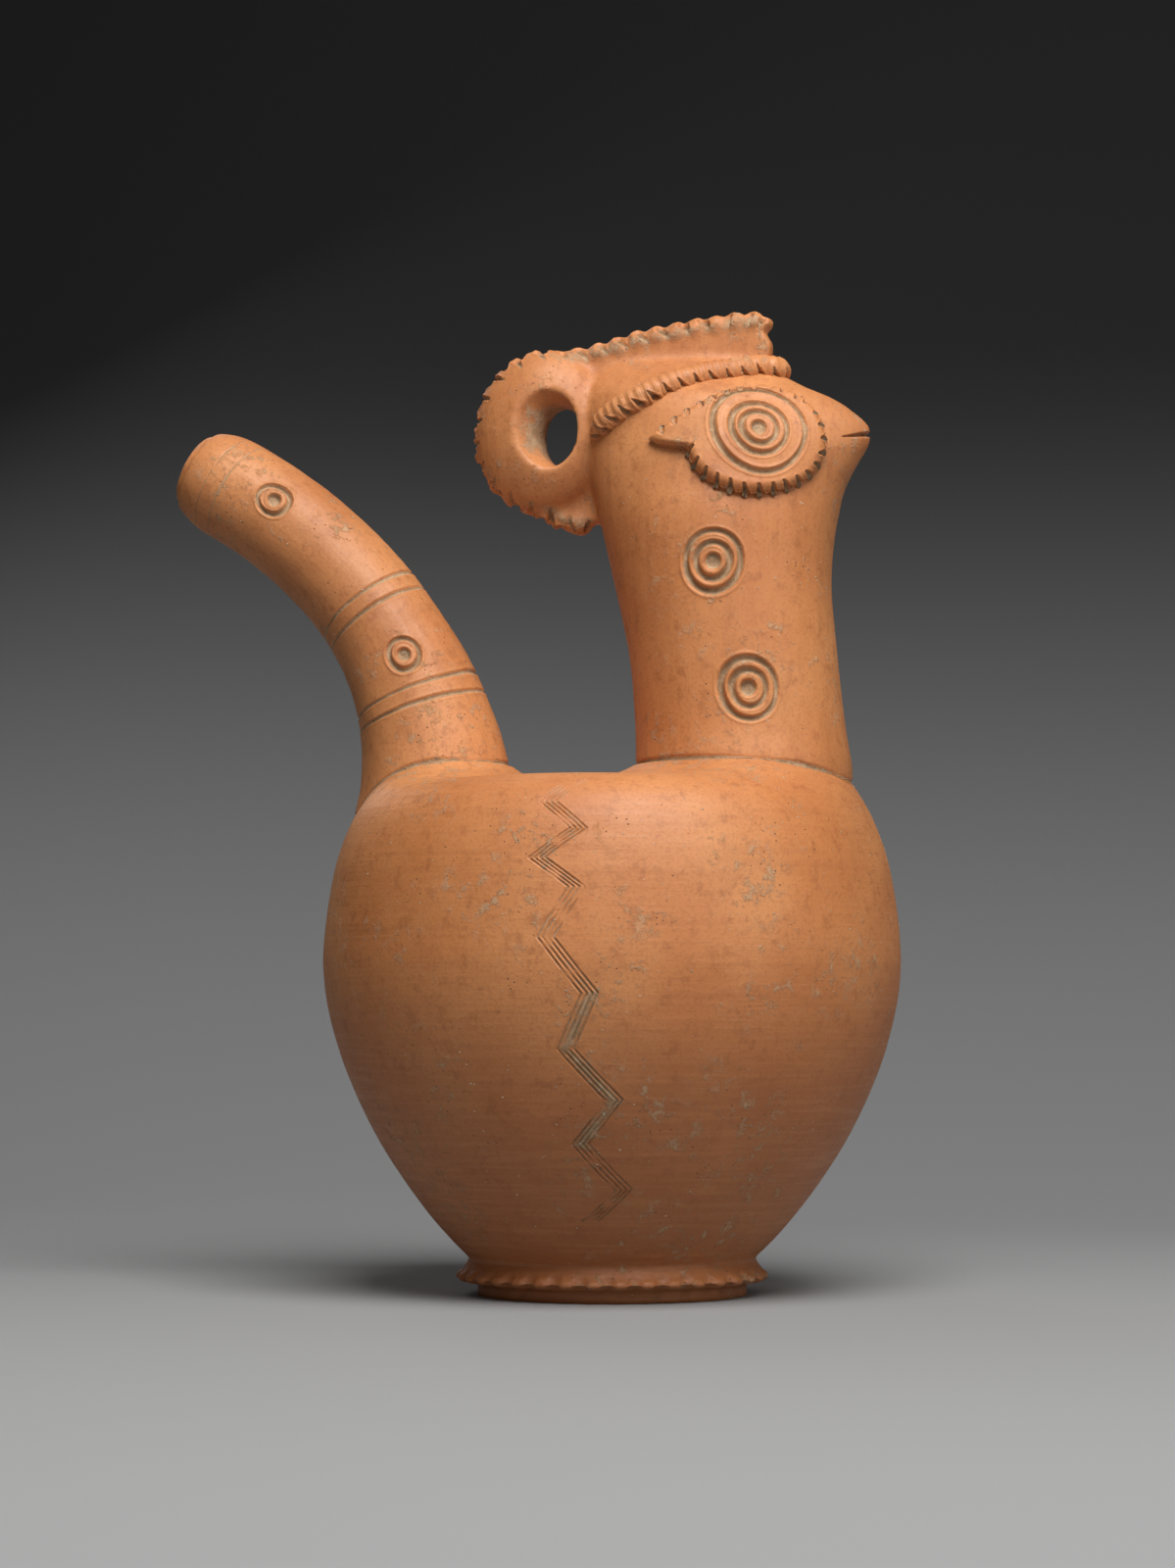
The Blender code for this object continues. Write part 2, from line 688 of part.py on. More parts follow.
def eye_pad(name, side, collection):
    """Pad of clay laid on the head, with its rings in the same lofted skin."""
    def place(radius, turn, lift):
        x = head_x(EYE_PLACE) + radius * math.cos(turn)
        z = head_z(EYE_HEIGHT) + radius * math.sin(turn) * EYE_SQUASH
        point, normal = head_skin(x, z), skin_normal(head_skin, x, z)
        point += normal * lift
        return Vector((point.x, side * point.y, point.z))

    turns = [2.0 * math.pi * i / EYE_COLUMNS for i in range(EYE_COLUMNS)]
    rings = [[place(radius, turn, EYE_LIFT + lift) for turn in turns]
             for radius, lift in eye_rows()]
    for share, lift in EYE_EDGE:
        ring = []
        for i, turn in enumerate(turns):
            notch = EYE_NOTCH_SHARE if i % 2 and share == 1.0 and notched(turn) else 1.0
            ring.append(place(share * notch * eye_outline(turn), turn, lift * EYE_LIFT))
        rings.append(ring)
    return loft(name, rings, collection)


def notched(turn):
    """The eye pad's edge is cut along its lower and front side."""
    return not EYE_PLAIN_TURNS[0] < turn % (2.0 * math.pi) < EYE_PLAIN_TURNS[1]


def rim_scoops(collection):
    """Round cuts, one beside the other, across the lower edge of the foot's rim."""
    shell = bmesh.new()
    rim = FOOT_RADIUS + RIM_OVERHANG
    for i in range(RIM_SCOOPS):
        turn = 2.0 * math.pi * (i + SCOOP_TURN) / RIM_SCOOPS
        out = Vector((math.cos(turn), math.sin(turn), 0.0))
        reach = SCOOP_RADIUS - SCOOP_DEPTH
        low = (out - Vector((0.0, 0.0, 1.0))).normalized()
        middle = out * rim + Vector((0.0, 0.0, RIM_HEIGHT)) + low * reach
        across = (out + Vector((0.0, 0.0, 1.0))).normalized()
        place = across.to_track_quat("Z", "Y").to_matrix().to_4x4()
        place.translation = middle
        bmesh.ops.create_cone(shell, cap_ends=True, segments=SCOOP_SIDES, radius1=SCOOP_RADIUS,
                              radius2=SCOOP_RADIUS, depth=4.0 * RIM_OVERHANG, matrix=place)
    return as_tool(add_object("rim_scoops", finish_mesh("rim_scoops", shell), collection))


def beak_slit(collection):
    """Narrow mouth cut into the tip of the beak, rising a little towards the tip."""
    shell = bmesh.new()
    bmesh.ops.create_cube(shell, size=1.0)
    width = 2.2 * NECK_RADIUS * head_section(BEAK_SLIT_SHARE)[2]
    for vertex in shell.verts:
        vertex.co.x *= 2.0 * BEAK_SLIT_DEPTH
        vertex.co.y *= width
        vertex.co.z = vertex.co.z * BEAK_SLIT_HEIGHT + BEAK_SLIT_RISE * vertex.co.x
        vertex.co.x += head_x(head_section(BEAK_SLIT_SHARE)[1])
        vertex.co.z += head_z(BEAK_SLIT_SHARE)
    return as_tool(add_object("beak_slit", finish_mesh("beak_slit", shell), collection))


def cavity(collection):
    """The empty room inside: body, neck with head, and the spout's open bore."""
    outer = shoulder_profile(ROOM_SHOULDER_ROWS) + lower_profile(ROOM_LOWER_ROWS)
    inner = [(0.0, BODY_TOP - BODY_WALL)] + inset(outer, BODY_WALL)
    inner = [point for point in inner if point[1] > FLOOR_THICKNESS + BODY_WALL]
    corner = FOOT_RADIUS - BODY_WALL
    inner += [(corner, FLOOR_THICKNESS + ROOM_FLOOR_CURVE * BODY_WALL)]
    inner += [(corner - BODY_WALL, FLOOR_THICKNESS), (0.0, FLOOR_THICKNESS)]
    room = as_tool(turned("cavity", inner, ROOM_STEPS, collection))
    combine(room, head_bore(collection), "UNION")
    combine(room, spout_bore(collection), "UNION")
    return room


def vessel():
    parts = new_collection("spouted_vessel")
    tools = new_collection("cutters")
    profile = shoulder_profile(SHOULDER_ROWS) + lower_profile(LOWER_ROWS) + foot_profile()
    body = turned("vessel", profile, BODY_STEPS, parts)
    body.data.materials.append(clay_material())
    for added in (spout, head, crest, loop, brow):
        combine(body, added(tools), "UNION")
    for name, side in (("eye_pad_near", 1), ("eye_pad_far", -1)):
        combine(body, eye_pad(name, side, tools), "UNION")
    for cut in (finger_hole, cavity, beak_slit, stamps, zigzags, rim_scoops):
        combine(body, cut(tools), "DIFFERENCE")
    return body


clear_scene()
vessel()
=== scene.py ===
# %% [markdown]
# A pouring vessel in the shape of a bird, fired from coarse orange clay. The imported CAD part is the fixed
# frame, and everything below is laid over it in metres, with X towards the beak and Z up. The real one is
# one piece of fired clay, but it was made from parts: a body turned on the wheel, a rolled spout, a neck
# with the head, and small pads and strips of clay. The script builds it in the same order.

# %% Load the frame
import math
from contextlib import contextmanager

import bmesh
import bpy
import numpy as np
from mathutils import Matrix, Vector
from mathutils.bvhtree import BVHTree
from mathutils.kdtree import KDTree


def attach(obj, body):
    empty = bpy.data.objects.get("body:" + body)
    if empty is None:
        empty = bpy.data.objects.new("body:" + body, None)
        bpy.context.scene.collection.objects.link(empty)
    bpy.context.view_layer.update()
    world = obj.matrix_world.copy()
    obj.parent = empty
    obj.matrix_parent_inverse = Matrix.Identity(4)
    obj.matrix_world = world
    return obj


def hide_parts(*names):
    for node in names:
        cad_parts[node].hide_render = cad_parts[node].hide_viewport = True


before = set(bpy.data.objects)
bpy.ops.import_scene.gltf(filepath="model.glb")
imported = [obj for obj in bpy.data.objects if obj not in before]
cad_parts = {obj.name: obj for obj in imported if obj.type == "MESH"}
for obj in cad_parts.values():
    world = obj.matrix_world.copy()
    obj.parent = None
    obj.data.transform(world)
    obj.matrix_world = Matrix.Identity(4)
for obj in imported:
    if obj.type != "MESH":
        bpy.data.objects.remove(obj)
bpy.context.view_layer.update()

# %% [markdown]
# The camera stands where the photographer stood: low, a little to the bird's front, and looking slightly
# up. A long lens keeps the form undistorted. The sensor's 36 mm lie along the picture's long side.

# %% Camera
CAMERA_PLACE = Vector((0.2620, -1.2325, 0.0973))
CAMERA_AIM = Vector((-0.0086, -0.0018, 0.1806))
VIEW_ANGLE = math.radians(25.0)
SENSOR = 36.0


def add_camera():
    camera = bpy.data.objects.new("camera", bpy.data.cameras.new("camera"))
    bpy.context.scene.collection.objects.link(camera)
    camera.location = CAMERA_PLACE
    camera.rotation_euler = (CAMERA_AIM - CAMERA_PLACE).to_track_quat("-Z", "Y").to_euler()
    camera.data.sensor_width = SENSOR
    camera.data.lens = SENSOR / 2.0 / math.tan(VIEW_ANGLE / 2.0)
    bpy.context.scene.camera = camera
    return camera


print("lens", round(add_camera().data.lens, 1), "mm")

# %% [markdown]
# Node trees are easier to read as formulas. A Wire is one output socket of a tree. Adding or multiplying
# wires adds the Math nodes for it, and node() adds any other node from its type, its settings and the
# values or links of its sockets. The same class serves materials and Geometry Nodes.

# %% Wires: node maths as Python expressions
def node(tree, kind, settings=None, values=None, outlet=None):
    """Add a node and return one of its outputs as a Wire, the first one in use if none is named."""
    made = tree.nodes.new(kind)
    for key, value in (settings or {}).items():
        setattr(made, key, value)
    for key, value in (values or {}).items():
        socket = made.inputs[key] if isinstance(key, int) else enabled(made.inputs, key)
        if isinstance(value, Wire):
            tree.links.new(value.socket, socket)
        else:
            socket.default_value = value
    return Wire(tree, enabled(made.outputs, outlet))


def enabled(sockets, name=None):
    """The first socket, of that name if one is given, that the node's settings leave in use."""
    return next(socket for socket in sockets if socket.enabled and name in (None, socket.name))


class Wire:
    """One output socket of a node tree, which takes part in arithmetic."""

    def __init__(self, tree, socket):
        self.tree = tree
        self.socket = socket

    def math(self, operation, *others, clamp=False):
        settings = {"operation": operation, "use_clamp": clamp}
        return node(self.tree, "ShaderNodeMath", settings, dict(enumerate((self, *others))))

    def vector(self, operation, values, outlet=None):
        return node(self.tree, "ShaderNodeVectorMath", {"operation": operation}, {0: self, **values}, outlet)

    def __add__(self, other):
        return self.math("ADD", other)

    __radd__ = __add__

    def __sub__(self, other):
        return self.math("SUBTRACT", other)

    def __rsub__(self, other):
        return node(self.tree, "ShaderNodeMath", {"operation": "SUBTRACT"}, {0: other, 1: self})

    def __mul__(self, other):
        return self.math("MULTIPLY", other)

    __rmul__ = __mul__

    def __truediv__(self, other):
        return self.math("DIVIDE", other)

    def __pow__(self, other):
        return self.math("POWER", other)

    def clamped(self):
        return self.math("ADD", 0.0, clamp=True)

    def top(self, other):
        return self.math("MAXIMUM", other)

    def step(self, low, high):
        """0 below low and 1 above high, smooth in between."""
        values = {"Value": self, "From Min": low, "From Max": high}
        return node(self.tree, "ShaderNodeMapRange", {"interpolation_type": "SMOOTHSTEP"}, values)

    def scaled(self, factor):
        """A vector times a number."""
        return self.vector("SCALE", {"Scale": factor})

    def minus(self, other):
        return self.vector("SUBTRACT", {1: other})

    def length(self):
        return self.vector("LENGTH", {}, "Value")

    def part(self, axis):
        """One of a vector's three numbers."""
        return node(self.tree, "ShaderNodeSeparateXYZ", {}, {0: self}, axis)


def combined(tree, x=0.0, y=0.0, z=0.0):
    return node(tree, "ShaderNodeCombineXYZ", {}, {0: x, 1: y, 2: z})


def new_material(name):
    """A material, its tree, its shader and the place on the piece as a wire."""
    material = bpy.data.materials.new(name)
    material.use_nodes = True
    tree = material.node_tree
    return material, tree, tree.nodes["Principled BSDF"], node(tree, "ShaderNodeTexCoord", outlet="Object")


print("formulas ready")

# %% [markdown]
# A studio table with one wide soft light above and weak ones beside it. The light from above makes the
# shoulder bright and lets the lower body fall into shade, which shows the swelling form best. The table
# is covered by a sweep of pale paper, which bends up behind the vessel. Its colour is painted darker as it
# rises, a painted shade for the light falling off, so that no edge shows. The standard view keeps the clay's
# own colours in the bright places.

# %% Lights and paper sweep
FLOOR_FRONT = -3.0
FLOOR_BACK = 0.42
SWEEP_RADIUS = 1.35
SWEEP_HALF_WIDTH = 4.0
FLOOR_GREY = 0.29
# colour of the paper at the top of the wall: painted shade, not the paper's own tone
WALL_PAINTED_SHADE = 0.022
PAINTED_SHADE_RISE = 0.66
ROOM_GREY = 0.016
LIGHTS = {
    "overhead": ((0.30, -0.66, 1.24), 0.80, 24.0),
    "front_fill": ((-0.30, -1.90, 0.75), 1.2, 2.6),
    "right_fill": ((1.30, -0.70, 0.55), 0.9, 4.0),
    "back_left": ((-0.90, 1.10, 1.10), 0.8, 3.0),
}


def add_light(name, place, size, power):
    data = bpy.data.lights.new(name, "AREA")
    data.shape = "SQUARE"
    data.size = size
    data.energy = power
    lamp = bpy.data.objects.new(name, data)
    lamp.location = place
    lamp.rotation_euler = (Vector((0.0, 0.0, 0.15)) - Vector(place)).to_track_quat("-Z", "Y").to_euler()
    bpy.context.scene.collection.objects.link(lamp)


def sweep_profile():
    """Flat floor, a quarter round, and a short wall."""
    profile = [(FLOOR_FRONT, 0.0)]
    for turn in np.linspace(0.0, math.pi / 2.0, 49):
        profile.append((FLOOR_BACK + SWEEP_RADIUS * math.sin(turn), SWEEP_RADIUS * (1.0 - math.cos(turn))))
    profile.append((FLOOR_BACK + SWEEP_RADIUS, 2.0 * SWEEP_RADIUS))
    return profile


def add_sweep():
    """The paper sweep below and behind the vessel."""
    profile = sweep_profile()
    points = [(x, y, z) for x in (-SWEEP_HALF_WIDTH, SWEEP_HALF_WIDTH) for y, z in profile]
    last = len(profile)
    faces = [(i, last + i, last + i + 1, i + 1) for i in range(last - 1)]
    floor = bpy.data.objects.new("paper_sweep", bpy.data.meshes.new("paper_sweep"))
    floor.data.from_pydata(points, [], faces)
    for face in floor.data.polygons:
        face.use_smooth = True
    floor.data.materials.append(paper_material())
    bpy.context.scene.collection.objects.link(floor)


def paper_material():
    """Pale grey paper, painted darker as it rises behind the vessel: painted shade for the light falling
    off.
    """
    material, tree, shader, place = new_material("pale_paper")
    # painted shade: the paper's colour darkens with height in place of the light falling off
    grey = node(tree, "ShaderNodeMapRange", {"interpolation_type": "SMOOTHSTEP"},
                {"Value": place.part("Z"), "From Max": PAINTED_SHADE_RISE, "To Min": FLOOR_GREY,
                 "To Max": WALL_PAINTED_SHADE})
    tree.links.new(grey.socket, shader.inputs["Base Color"])
    shader.inputs["Roughness"].default_value = 0.85
    return material


world = bpy.data.worlds.new("studio")
bpy.context.scene.world = world
world.use_nodes = True
world.node_tree.nodes["Background"].inputs["Color"].default_value = (ROOM_GREY,) * 3 + (1.0,)
bpy.context.scene.view_settings.view_transform = "Standard"
for light_name, (place, size, power) in LIGHTS.items():
    add_light(light_name, place, size, power)
add_sweep()
print(len(LIGHTS), "lights over a pale sweep")

# %% [markdown]
# A Geometry Nodes tree here has named inputs for its sizes. It runs as a modifier on an object, and its
# result is kept as a plain mesh. Every tree ends in Realize Instances and Set Material.

# %% Geometry trees and how they run
KINDS = {"object": "NodeSocketObject", "size": "NodeSocketFloat", "count": "NodeSocketInt",
         "material": "NodeSocketMaterial", "vector": "NodeSocketVector"}


def geometry_tree(name, **inputs):
    """A new tree and the wires of its inputs by name."""
    tree = bpy.data.node_groups.new(name, "GeometryNodeTree")
    tree.interface.new_socket("Geometry", in_out="OUTPUT", socket_type="NodeSocketGeometry")
    tree.interface.new_socket("Geometry", in_out="INPUT", socket_type="NodeSocketGeometry")
    for label, kind in {**inputs, "Material": "material"}.items():
        tree.interface.new_socket(label, in_out="INPUT", socket_type=KINDS[kind])
    group = tree.nodes.new("NodeGroupInput")
    return tree, {socket.name: Wire(tree, socket) for socket in group.outputs if socket.name}


def close_tree(tree, given, geometry):
    real = node(tree, "GeometryNodeRealizeInstances", {}, {"Geometry": geometry})
    values = {"Geometry": real, "Material": given["Material"]}
    finished = node(tree, "GeometryNodeSetMaterial", {}, values)
    output = tree.nodes.new("NodeGroupOutput")
    tree.links.new(finished.socket, output.inputs["Geometry"])


def keep_modified(item):
    """Keep what the modifiers make as the item's plain mesh."""
    seen = item.evaluated_get(bpy.context.evaluated_depsgraph_get())
    mesh = bpy.data.meshes.new_from_object(seen)
    item.modifiers.clear()
    item.data = mesh
    return item


def grow(item, tree, **sizes):
    """Run a tree on an object and keep the result as the object's plain mesh."""
    step = item.modifiers.new("grow", "NODES")
    step.node_group = tree
    for socket in tree.interface.items_tree:
        if socket.in_out == "INPUT" and socket.name in sizes:
            step[socket.identifier] = sizes[socket.name]
    return keep_modified(item)


@contextmanager
def faces_of(item):
    """The item's faces for editing, written back at the end."""
    shell = bmesh.new()
    shell.from_mesh(item.data)
    yield shell
    shell.to_mesh(item.data)
    shell.free()


def full_turn(count, offset=0.0):
    """Even angles round a circle."""
    return [2.0 * math.pi * (i + offset) / count for i in range(count)]


def add_object(name, data=None):
    item = bpy.data.objects.new(name, data or bpy.data.meshes.new(name))
    bpy.context.scene.collection.objects.link(item)
    return item


def object_geometry(tree, wire):
    return node(tree, "GeometryNodeObjectInfo", {}, {"Object": wire}, "Geometry")


def position(tree):
    return node(tree, "GeometryNodeInputPosition")


def named(tree, name):
    return node(tree, "GeometryNodeInputNamedAttribute", {}, {"Name": name})


def noted(tree, geometry, name, value):
    """The geometry with the value kept at every point under a name."""
    return node(tree, "GeometryNodeStoreNamedAttribute", {},
                {"Geometry": geometry, "Name": name, "Value": value})


def pushed(tree, geometry, distance):
    """The geometry with every point moved outwards."""
    outwards = node(tree, "GeometryNodeInputNormal")
    return node(tree, "GeometryNodeSetPosition", {},
                {"Geometry": geometry, "Offset": outwards.scaled(distance)})


def laid_on(tree, skin, geometry):
    """The geometry with every point moved to the nearest place on a skin."""
    nearest = node(tree, "GeometryNodeProximity", {"target_element": "FACES"},
                   {"Geometry": skin, "Sample Position": position(tree)}, "Position")
    return node(tree, "GeometryNodeSetPosition", {}, {"Geometry": geometry, "Position": nearest})


def drifting(tree, place, seed, scale, detail):
    """Slow noise that a seed changes."""
    return node(tree, "ShaderNodeTexNoise", {"noise_dimensions": "4D"},
                {"Vector": place, "W": seed, "Scale": scale, "Detail": detail})


def between(tree, least, most, seed):
    """A random number for each point."""
    return node(tree, "FunctionNodeRandomValue", {}, {"Min": least, "Max": most, "Seed": seed})


def add_path(name, points, cyclic=False):
    """A poly curve through the points."""
    curve = bpy.data.curves.new(name, "CURVE")
    curve.dimensions = "3D"
    spline = curve.splines.new("POLY")
    spline.points.add(len(points) - 1)
    for slot, point in zip(spline.points, points):
        slot.co = (*point, 1.0)
    spline.use_cyclic_u = cyclic
    return add_object(name, curve)


def drop(*items):
    for item in items:
        bpy.data.objects.remove(item, do_unlink=True)


print("tree helpers ready")

# %% [markdown]
# The body is a turned form, so one rule gives it: its radius at each height. Below the belly it draws in
# to the foot like an egg, above it the shoulder stays wide and then closes quickly, like a superellipse.
# The foot ends in a thin flange, which the potter pinched all round. Where neck and spout were set on,
# the shoulder's clay was drawn up to them, so it rises softly towards each.

# %% The body's rule
BELLY_RADIUS = 0.1025
BELLY_HEIGHT = 0.118
BODY_TOP = 0.1806
LOWER_CURVE = 1.79
LOWER_FULLNESS = 0.90
SHOULDER_CURVE = 1.5
SHOULDER_SQUARENESS = 11.0
FOOT_RADIUS = 0.0496
FOOT_JOIN_HEIGHT = 0.0125
RIM_OVERHANG = 0.0058
RIM_HEIGHT = 0.0055
RIM_THICKNESS = 0.0032
STAND_RADIUS = 0.0475
DRAWN_UP = ((0.0476, 0.0383, 0.0383, 0.0062), (-0.0605, 0.0226, 0.0258, 0.0078))
DRAWN_REACH = 0.0220


def mix(low, high, share):
    return low + (high - low) * share


def body_radius(height):
    if height <= BELLY_HEIGHT:
        share = (BELLY_HEIGHT - height) / (BELLY_HEIGHT - FOOT_JOIN_HEIGHT)
        swell = max(0.0, 1.0 - share ** LOWER_CURVE) ** LOWER_FULLNESS
        return mix(FOOT_RADIUS, BELLY_RADIUS, swell)
    share = (height - BELLY_HEIGHT) / (BODY_TOP - BELLY_HEIGHT)
    return BELLY_RADIUS * (1.0 - share ** SHOULDER_CURVE) ** (1.0 / SHOULDER_SQUARENESS)


def body_height(radius):
    """Height of the shoulder at a distance from the body's axis."""
    share = (1.0 - min(1.0, radius / BELLY_RADIUS) ** SHOULDER_SQUARENESS) ** (1.0 / SHOULDER_CURVE)
    return mix(BELLY_HEIGHT, BODY_TOP, share)


def drawn_up(x, y):
    """Height of the clay that was drawn up to the neck and the spout, above the plain shoulder."""
    made = 0.0
    for place, half_length, half_width, height in DRAWN_UP:
        away = (math.hypot((x - place) / half_length, y / half_width) - 1.0) * half_width
        made = max(made, height * (1.0 - min(max(away, 0.0) / DRAWN_REACH, 1.0)) ** 2)
    return made


def smooth_path(points, spacing):
    """Even points, about a spacing apart, on a smooth curve through the given ones."""
    points = [Vector(point) for point in points]
    ends = [2 * points[0] - points[1], *points, 2 * points[-1] - points[-2]]
    fine = []
    for a, b, c, d in zip(ends, ends[1:], ends[2:], ends[3:]):
        for i in range(16):
            t = i / 16
            fine.append(0.5 * (2 * b + (c - a) * t + (2 * a - 5 * b + 4 * c - d) * t ** 2
                               + (3 * b - a - 3 * c + d) * t ** 3))
    fine.append(points[-1])
    return even_path(fine, spacing)


def even_path(points, spacing):
    """Points a spacing apart along straight stretches."""
    places = np.array(points)
    lengths = np.concatenate([[0.0], np.cumsum(np.linalg.norm(np.diff(places, axis=0), axis=1))])
    count = max(2, round(lengths[-1] / spacing) + 1)
    goals = np.linspace(0.0, lengths[-1], count)
    return [Vector(row) for row in
            np.stack([np.interp(goals, lengths, places[:, k]) for k in range(3)], axis=1)]


def body_profile():
    rim = FOOT_RADIUS + RIM_OVERHANG
    foot = [(STAND_RADIUS, 0, 0), (STAND_RADIUS + 0.0004, 0, RIM_HEIGHT - 0.0012),
            (rim - 0.0016, 0, RIM_HEIGHT - 0.0004), (rim, 0, RIM_HEIGHT + 0.5 * RIM_THICKNESS),
            (rim - 0.0022, 0, RIM_HEIGHT + RIM_THICKNESS), (FOOT_RADIUS + 0.0008, 0, FOOT_JOIN_HEIGHT)]
    heights = np.linspace(FOOT_JOIN_HEIGHT, BELLY_HEIGHT, 80)[1:]
    wall = [(body_radius(height), 0, height) for height in heights]
    turns = np.linspace(0.0, math.pi / 2.0, 160)[1:]
    radii = np.concatenate([BELLY_RADIUS * np.cos(turns[:-12]) ** (2.0 / SHOULDER_SQUARENESS),
                            np.linspace(0.62, 0.0, 30) * BELLY_RADIUS])
    radii = -np.sort(-radii)
    shoulder = [(radius, 0, body_height(radius)) for radius in radii]
    return smooth_path(foot, 0.0004) + [Vector(point) for point in wall + shoulder]


profile = add_path("body_profile", body_profile())
print("profile of", len(profile.data.splines[0].points), "points")

# %% [markdown]
# On the wheel, one outline sweeps round the axis. The tree does the same: a flat grid is wrapped round,
# its columns become the turn and its rows read the profile curve at even distances. Nothing thrown and
# beaten by hand is quite round, so slow noise, stretched along the way the potter wiped it, then pushes
# the skin in and out by a fraction of a millimetre.

# %% Turn the body
BODY_COLUMNS = 250
BODY_ROWS = 165
HAND_HEIGHT = 0.0006


def wheel_tree():
    tree, given = geometry_tree("turned form", Profile="object", Columns="count", Rows="count")
    values = {"Size X": 1.0, "Size Y": 1.0, "Vertices X": given["Columns"], "Vertices Y": given["Rows"]}
    grid = node(tree, "GeometryNodeMeshGrid", {}, values, "Mesh")
    turn = position(tree).part("X") * (2.0 * math.pi)
    up = position(tree).part("Y") + 0.5
    outline = object_geometry(tree, given["Profile"])
    read = node(tree, "GeometryNodeSampleCurve", {"mode": "FACTOR"},
                {"Curves": outline, "Factor": up}, "Position")
    radius = read.part("X")
    place = combined(tree, radius * turn.math("COSINE"), radius * turn.math("SINE"), read.part("Z"))
    moved = node(tree, "GeometryNodeSetPosition", {}, {"Geometry": grid, "Position": place})
    merged = node(tree, "GeometryNodeMergeByDistance", {}, {"Geometry": moved, "Distance": 0.00002})
    close_tree(tree, given, merged)
    return tree


def hand_tree():
    """Slow unevenness of hand work, stretched along the way the hand moved."""
    tree, given = geometry_tree("hand work", Height="size", Stretch="vector", Seed="size")
    stretched = position(tree).vector("MULTIPLY", {1: given["Stretch"]})
    push = (drifting(tree, stretched, given["Seed"], 1.0, 2.0) - 0.5) * given["Height"] * 2.0
    close_tree(tree, given, pushed(tree, given["Geometry"], push))
    return tree


def close_shell(item):
    """Fill open ends, turn the faces outwards and shade smooth."""
    with faces_of(item) as shell:
        bmesh.ops.remove_doubles(shell, verts=shell.verts, dist=0.00001)
        ends = [edge for edge in shell.edges if edge.is_boundary]
        if ends:
            filled = bmesh.ops.holes_fill(shell, edges=ends, sides=0)["faces"]
            bmesh.ops.poke(shell, faces=filled)
        shell.normal_update()
        bmesh.ops.recalc_face_normals(shell, faces=shell.faces)
        if shell.calc_volume(signed=True) < 0.0:
            bmesh.ops.reverse_faces(shell, faces=shell.faces)
        for face in shell.faces:
            face.smooth = True
    return item


def draw_up_clay(item):
    """Raise the shoulder towards the neck and the spout."""
    for vertex in item.data.vertices:
        share = min(max((vertex.co.z - BELLY_HEIGHT) / (BODY_TOP - BELLY_HEIGHT), 0.0), 1.0)
        vertex.co.z += share * share * drawn_up(vertex.co.x, vertex.co.y)


WHEEL = wheel_tree()
HAND = hand_tree()
body = grow(add_object("body_and_foot"), WHEEL, Profile=profile, Columns=BODY_COLUMNS, Rows=BODY_ROWS)
close_shell(body)
draw_up_clay(body)
grow(body, HAND, Height=HAND_HEIGHT, Stretch=(16.0, 16.0, 30.0), Seed=3.0)
drop(profile)
print("body", len(body.data.polygons), "faces")

# %% [markdown]
# All the carving on this vessel is tool work in damp clay: combed lines, stamped rings and cuts. Each
# mark is a row of points on the skin, and each point says how hard the tool pressed there. One tree
# presses them in: it finds the nearest mark, sinks the skin below it and raises the small lip of clay
# that the tool pushes up beside it. Before the skin moves, it notes where earth will lodge: in the
# mark, and as a stain beside it. The faces near the marks are halved first, so that only they cost
# faces.

# %% Tool marks
def press_tree():
    tree, given = geometry_tree("tool marks", Marks="object", Width="size", Depth="size", Lip="size",
                                Fill="size", Stain="size", Reach="size")
    marks = object_geometry(tree, given["Marks"])
    here = position(tree)
    index = node(tree, "GeometryNodeSampleNearest", {}, {"Geometry": marks, "Sample Position": here})
    sample = {"Geometry": marks, "Index": index}
    place = node(tree, "GeometryNodeSampleIndex", {"data_type": "FLOAT_VECTOR"},
                 {**sample, "Value": here})
    press = node(tree, "GeometryNodeSampleIndex", {"data_type": "FLOAT"},
                 {**sample, "Value": named(tree, "press")})
    distance = place.minus(here).length()
    away = distance / (given["Width"] * press)
    hollow = (1.0 - away * away).clamped() ** 1.3
    beside = (away - 1.35) / 0.35
    lip = (0.0 - beside * beside).math("EXPONENT")
    push = (lip * given["Lip"] - hollow * given["Depth"]) * press
    stain = (1.0 - distance / given["Reach"]).clamped() * given["Stain"]
    lodged = named(tree, "earth").top(hollow * given["Fill"]).top(stain)
    close_tree(tree, given, pushed(tree, noted(tree, given["Geometry"], "earth", lodged), push))
    return tree


def marks_object(points, pressures):
    item = add_object("marks")
    item.data.from_pydata([tuple(point) for point in points], [], [])
    press = item.data.attributes.new("press", "FLOAT", "POINT")
    press.data.foreach_set("value", pressures)
    return item


def refine(item, marks, reach, rounds):
    """Halve the faces that lie within reach of a mark, a number of times."""
    tree = KDTree(len(marks.data.vertices))
    for i, vertex in enumerate(marks.data.vertices):
        tree.insert(vertex.co, i)
    tree.balance()
    with faces_of(item) as shell:
        for _ in range(rounds):
            near = [face for face in shell.faces
                    if tree.find(face.calc_center_median())[2] < reach + face.calc_area() ** 0.5]
            edges = list({edge for face in near for edge in face.edges})
            bmesh.ops.subdivide_edges(shell, edges=edges, cuts=1, use_grid_fill=True)
        bmesh.ops.triangulate(shell, faces=[face for face in shell.faces if len(face.verts) > 4])
        for face in shell.faces:
            face.smooth = True


def press(item, marks, width, depth, lip=0.0, fill=1.0, rounds=2, stain=0.0, reach=0.004):
    refine(item, marks, 1.8 * width, rounds)
    grow(item, PRESS, Marks=marks, Width=width, Depth=depth, Lip=lip, Fill=fill, Stain=stain, Reach=reach)
    drop(marks)
    return item


def smear(item, points, reach, stain):
    """Leave earth near the points without a mark in the clay."""
    return press(item, marks_object(points, [1.0] * len(points)), 0.0005, 0.0, fill=0.0, rounds=0,
                 stain=stain, reach=reach)


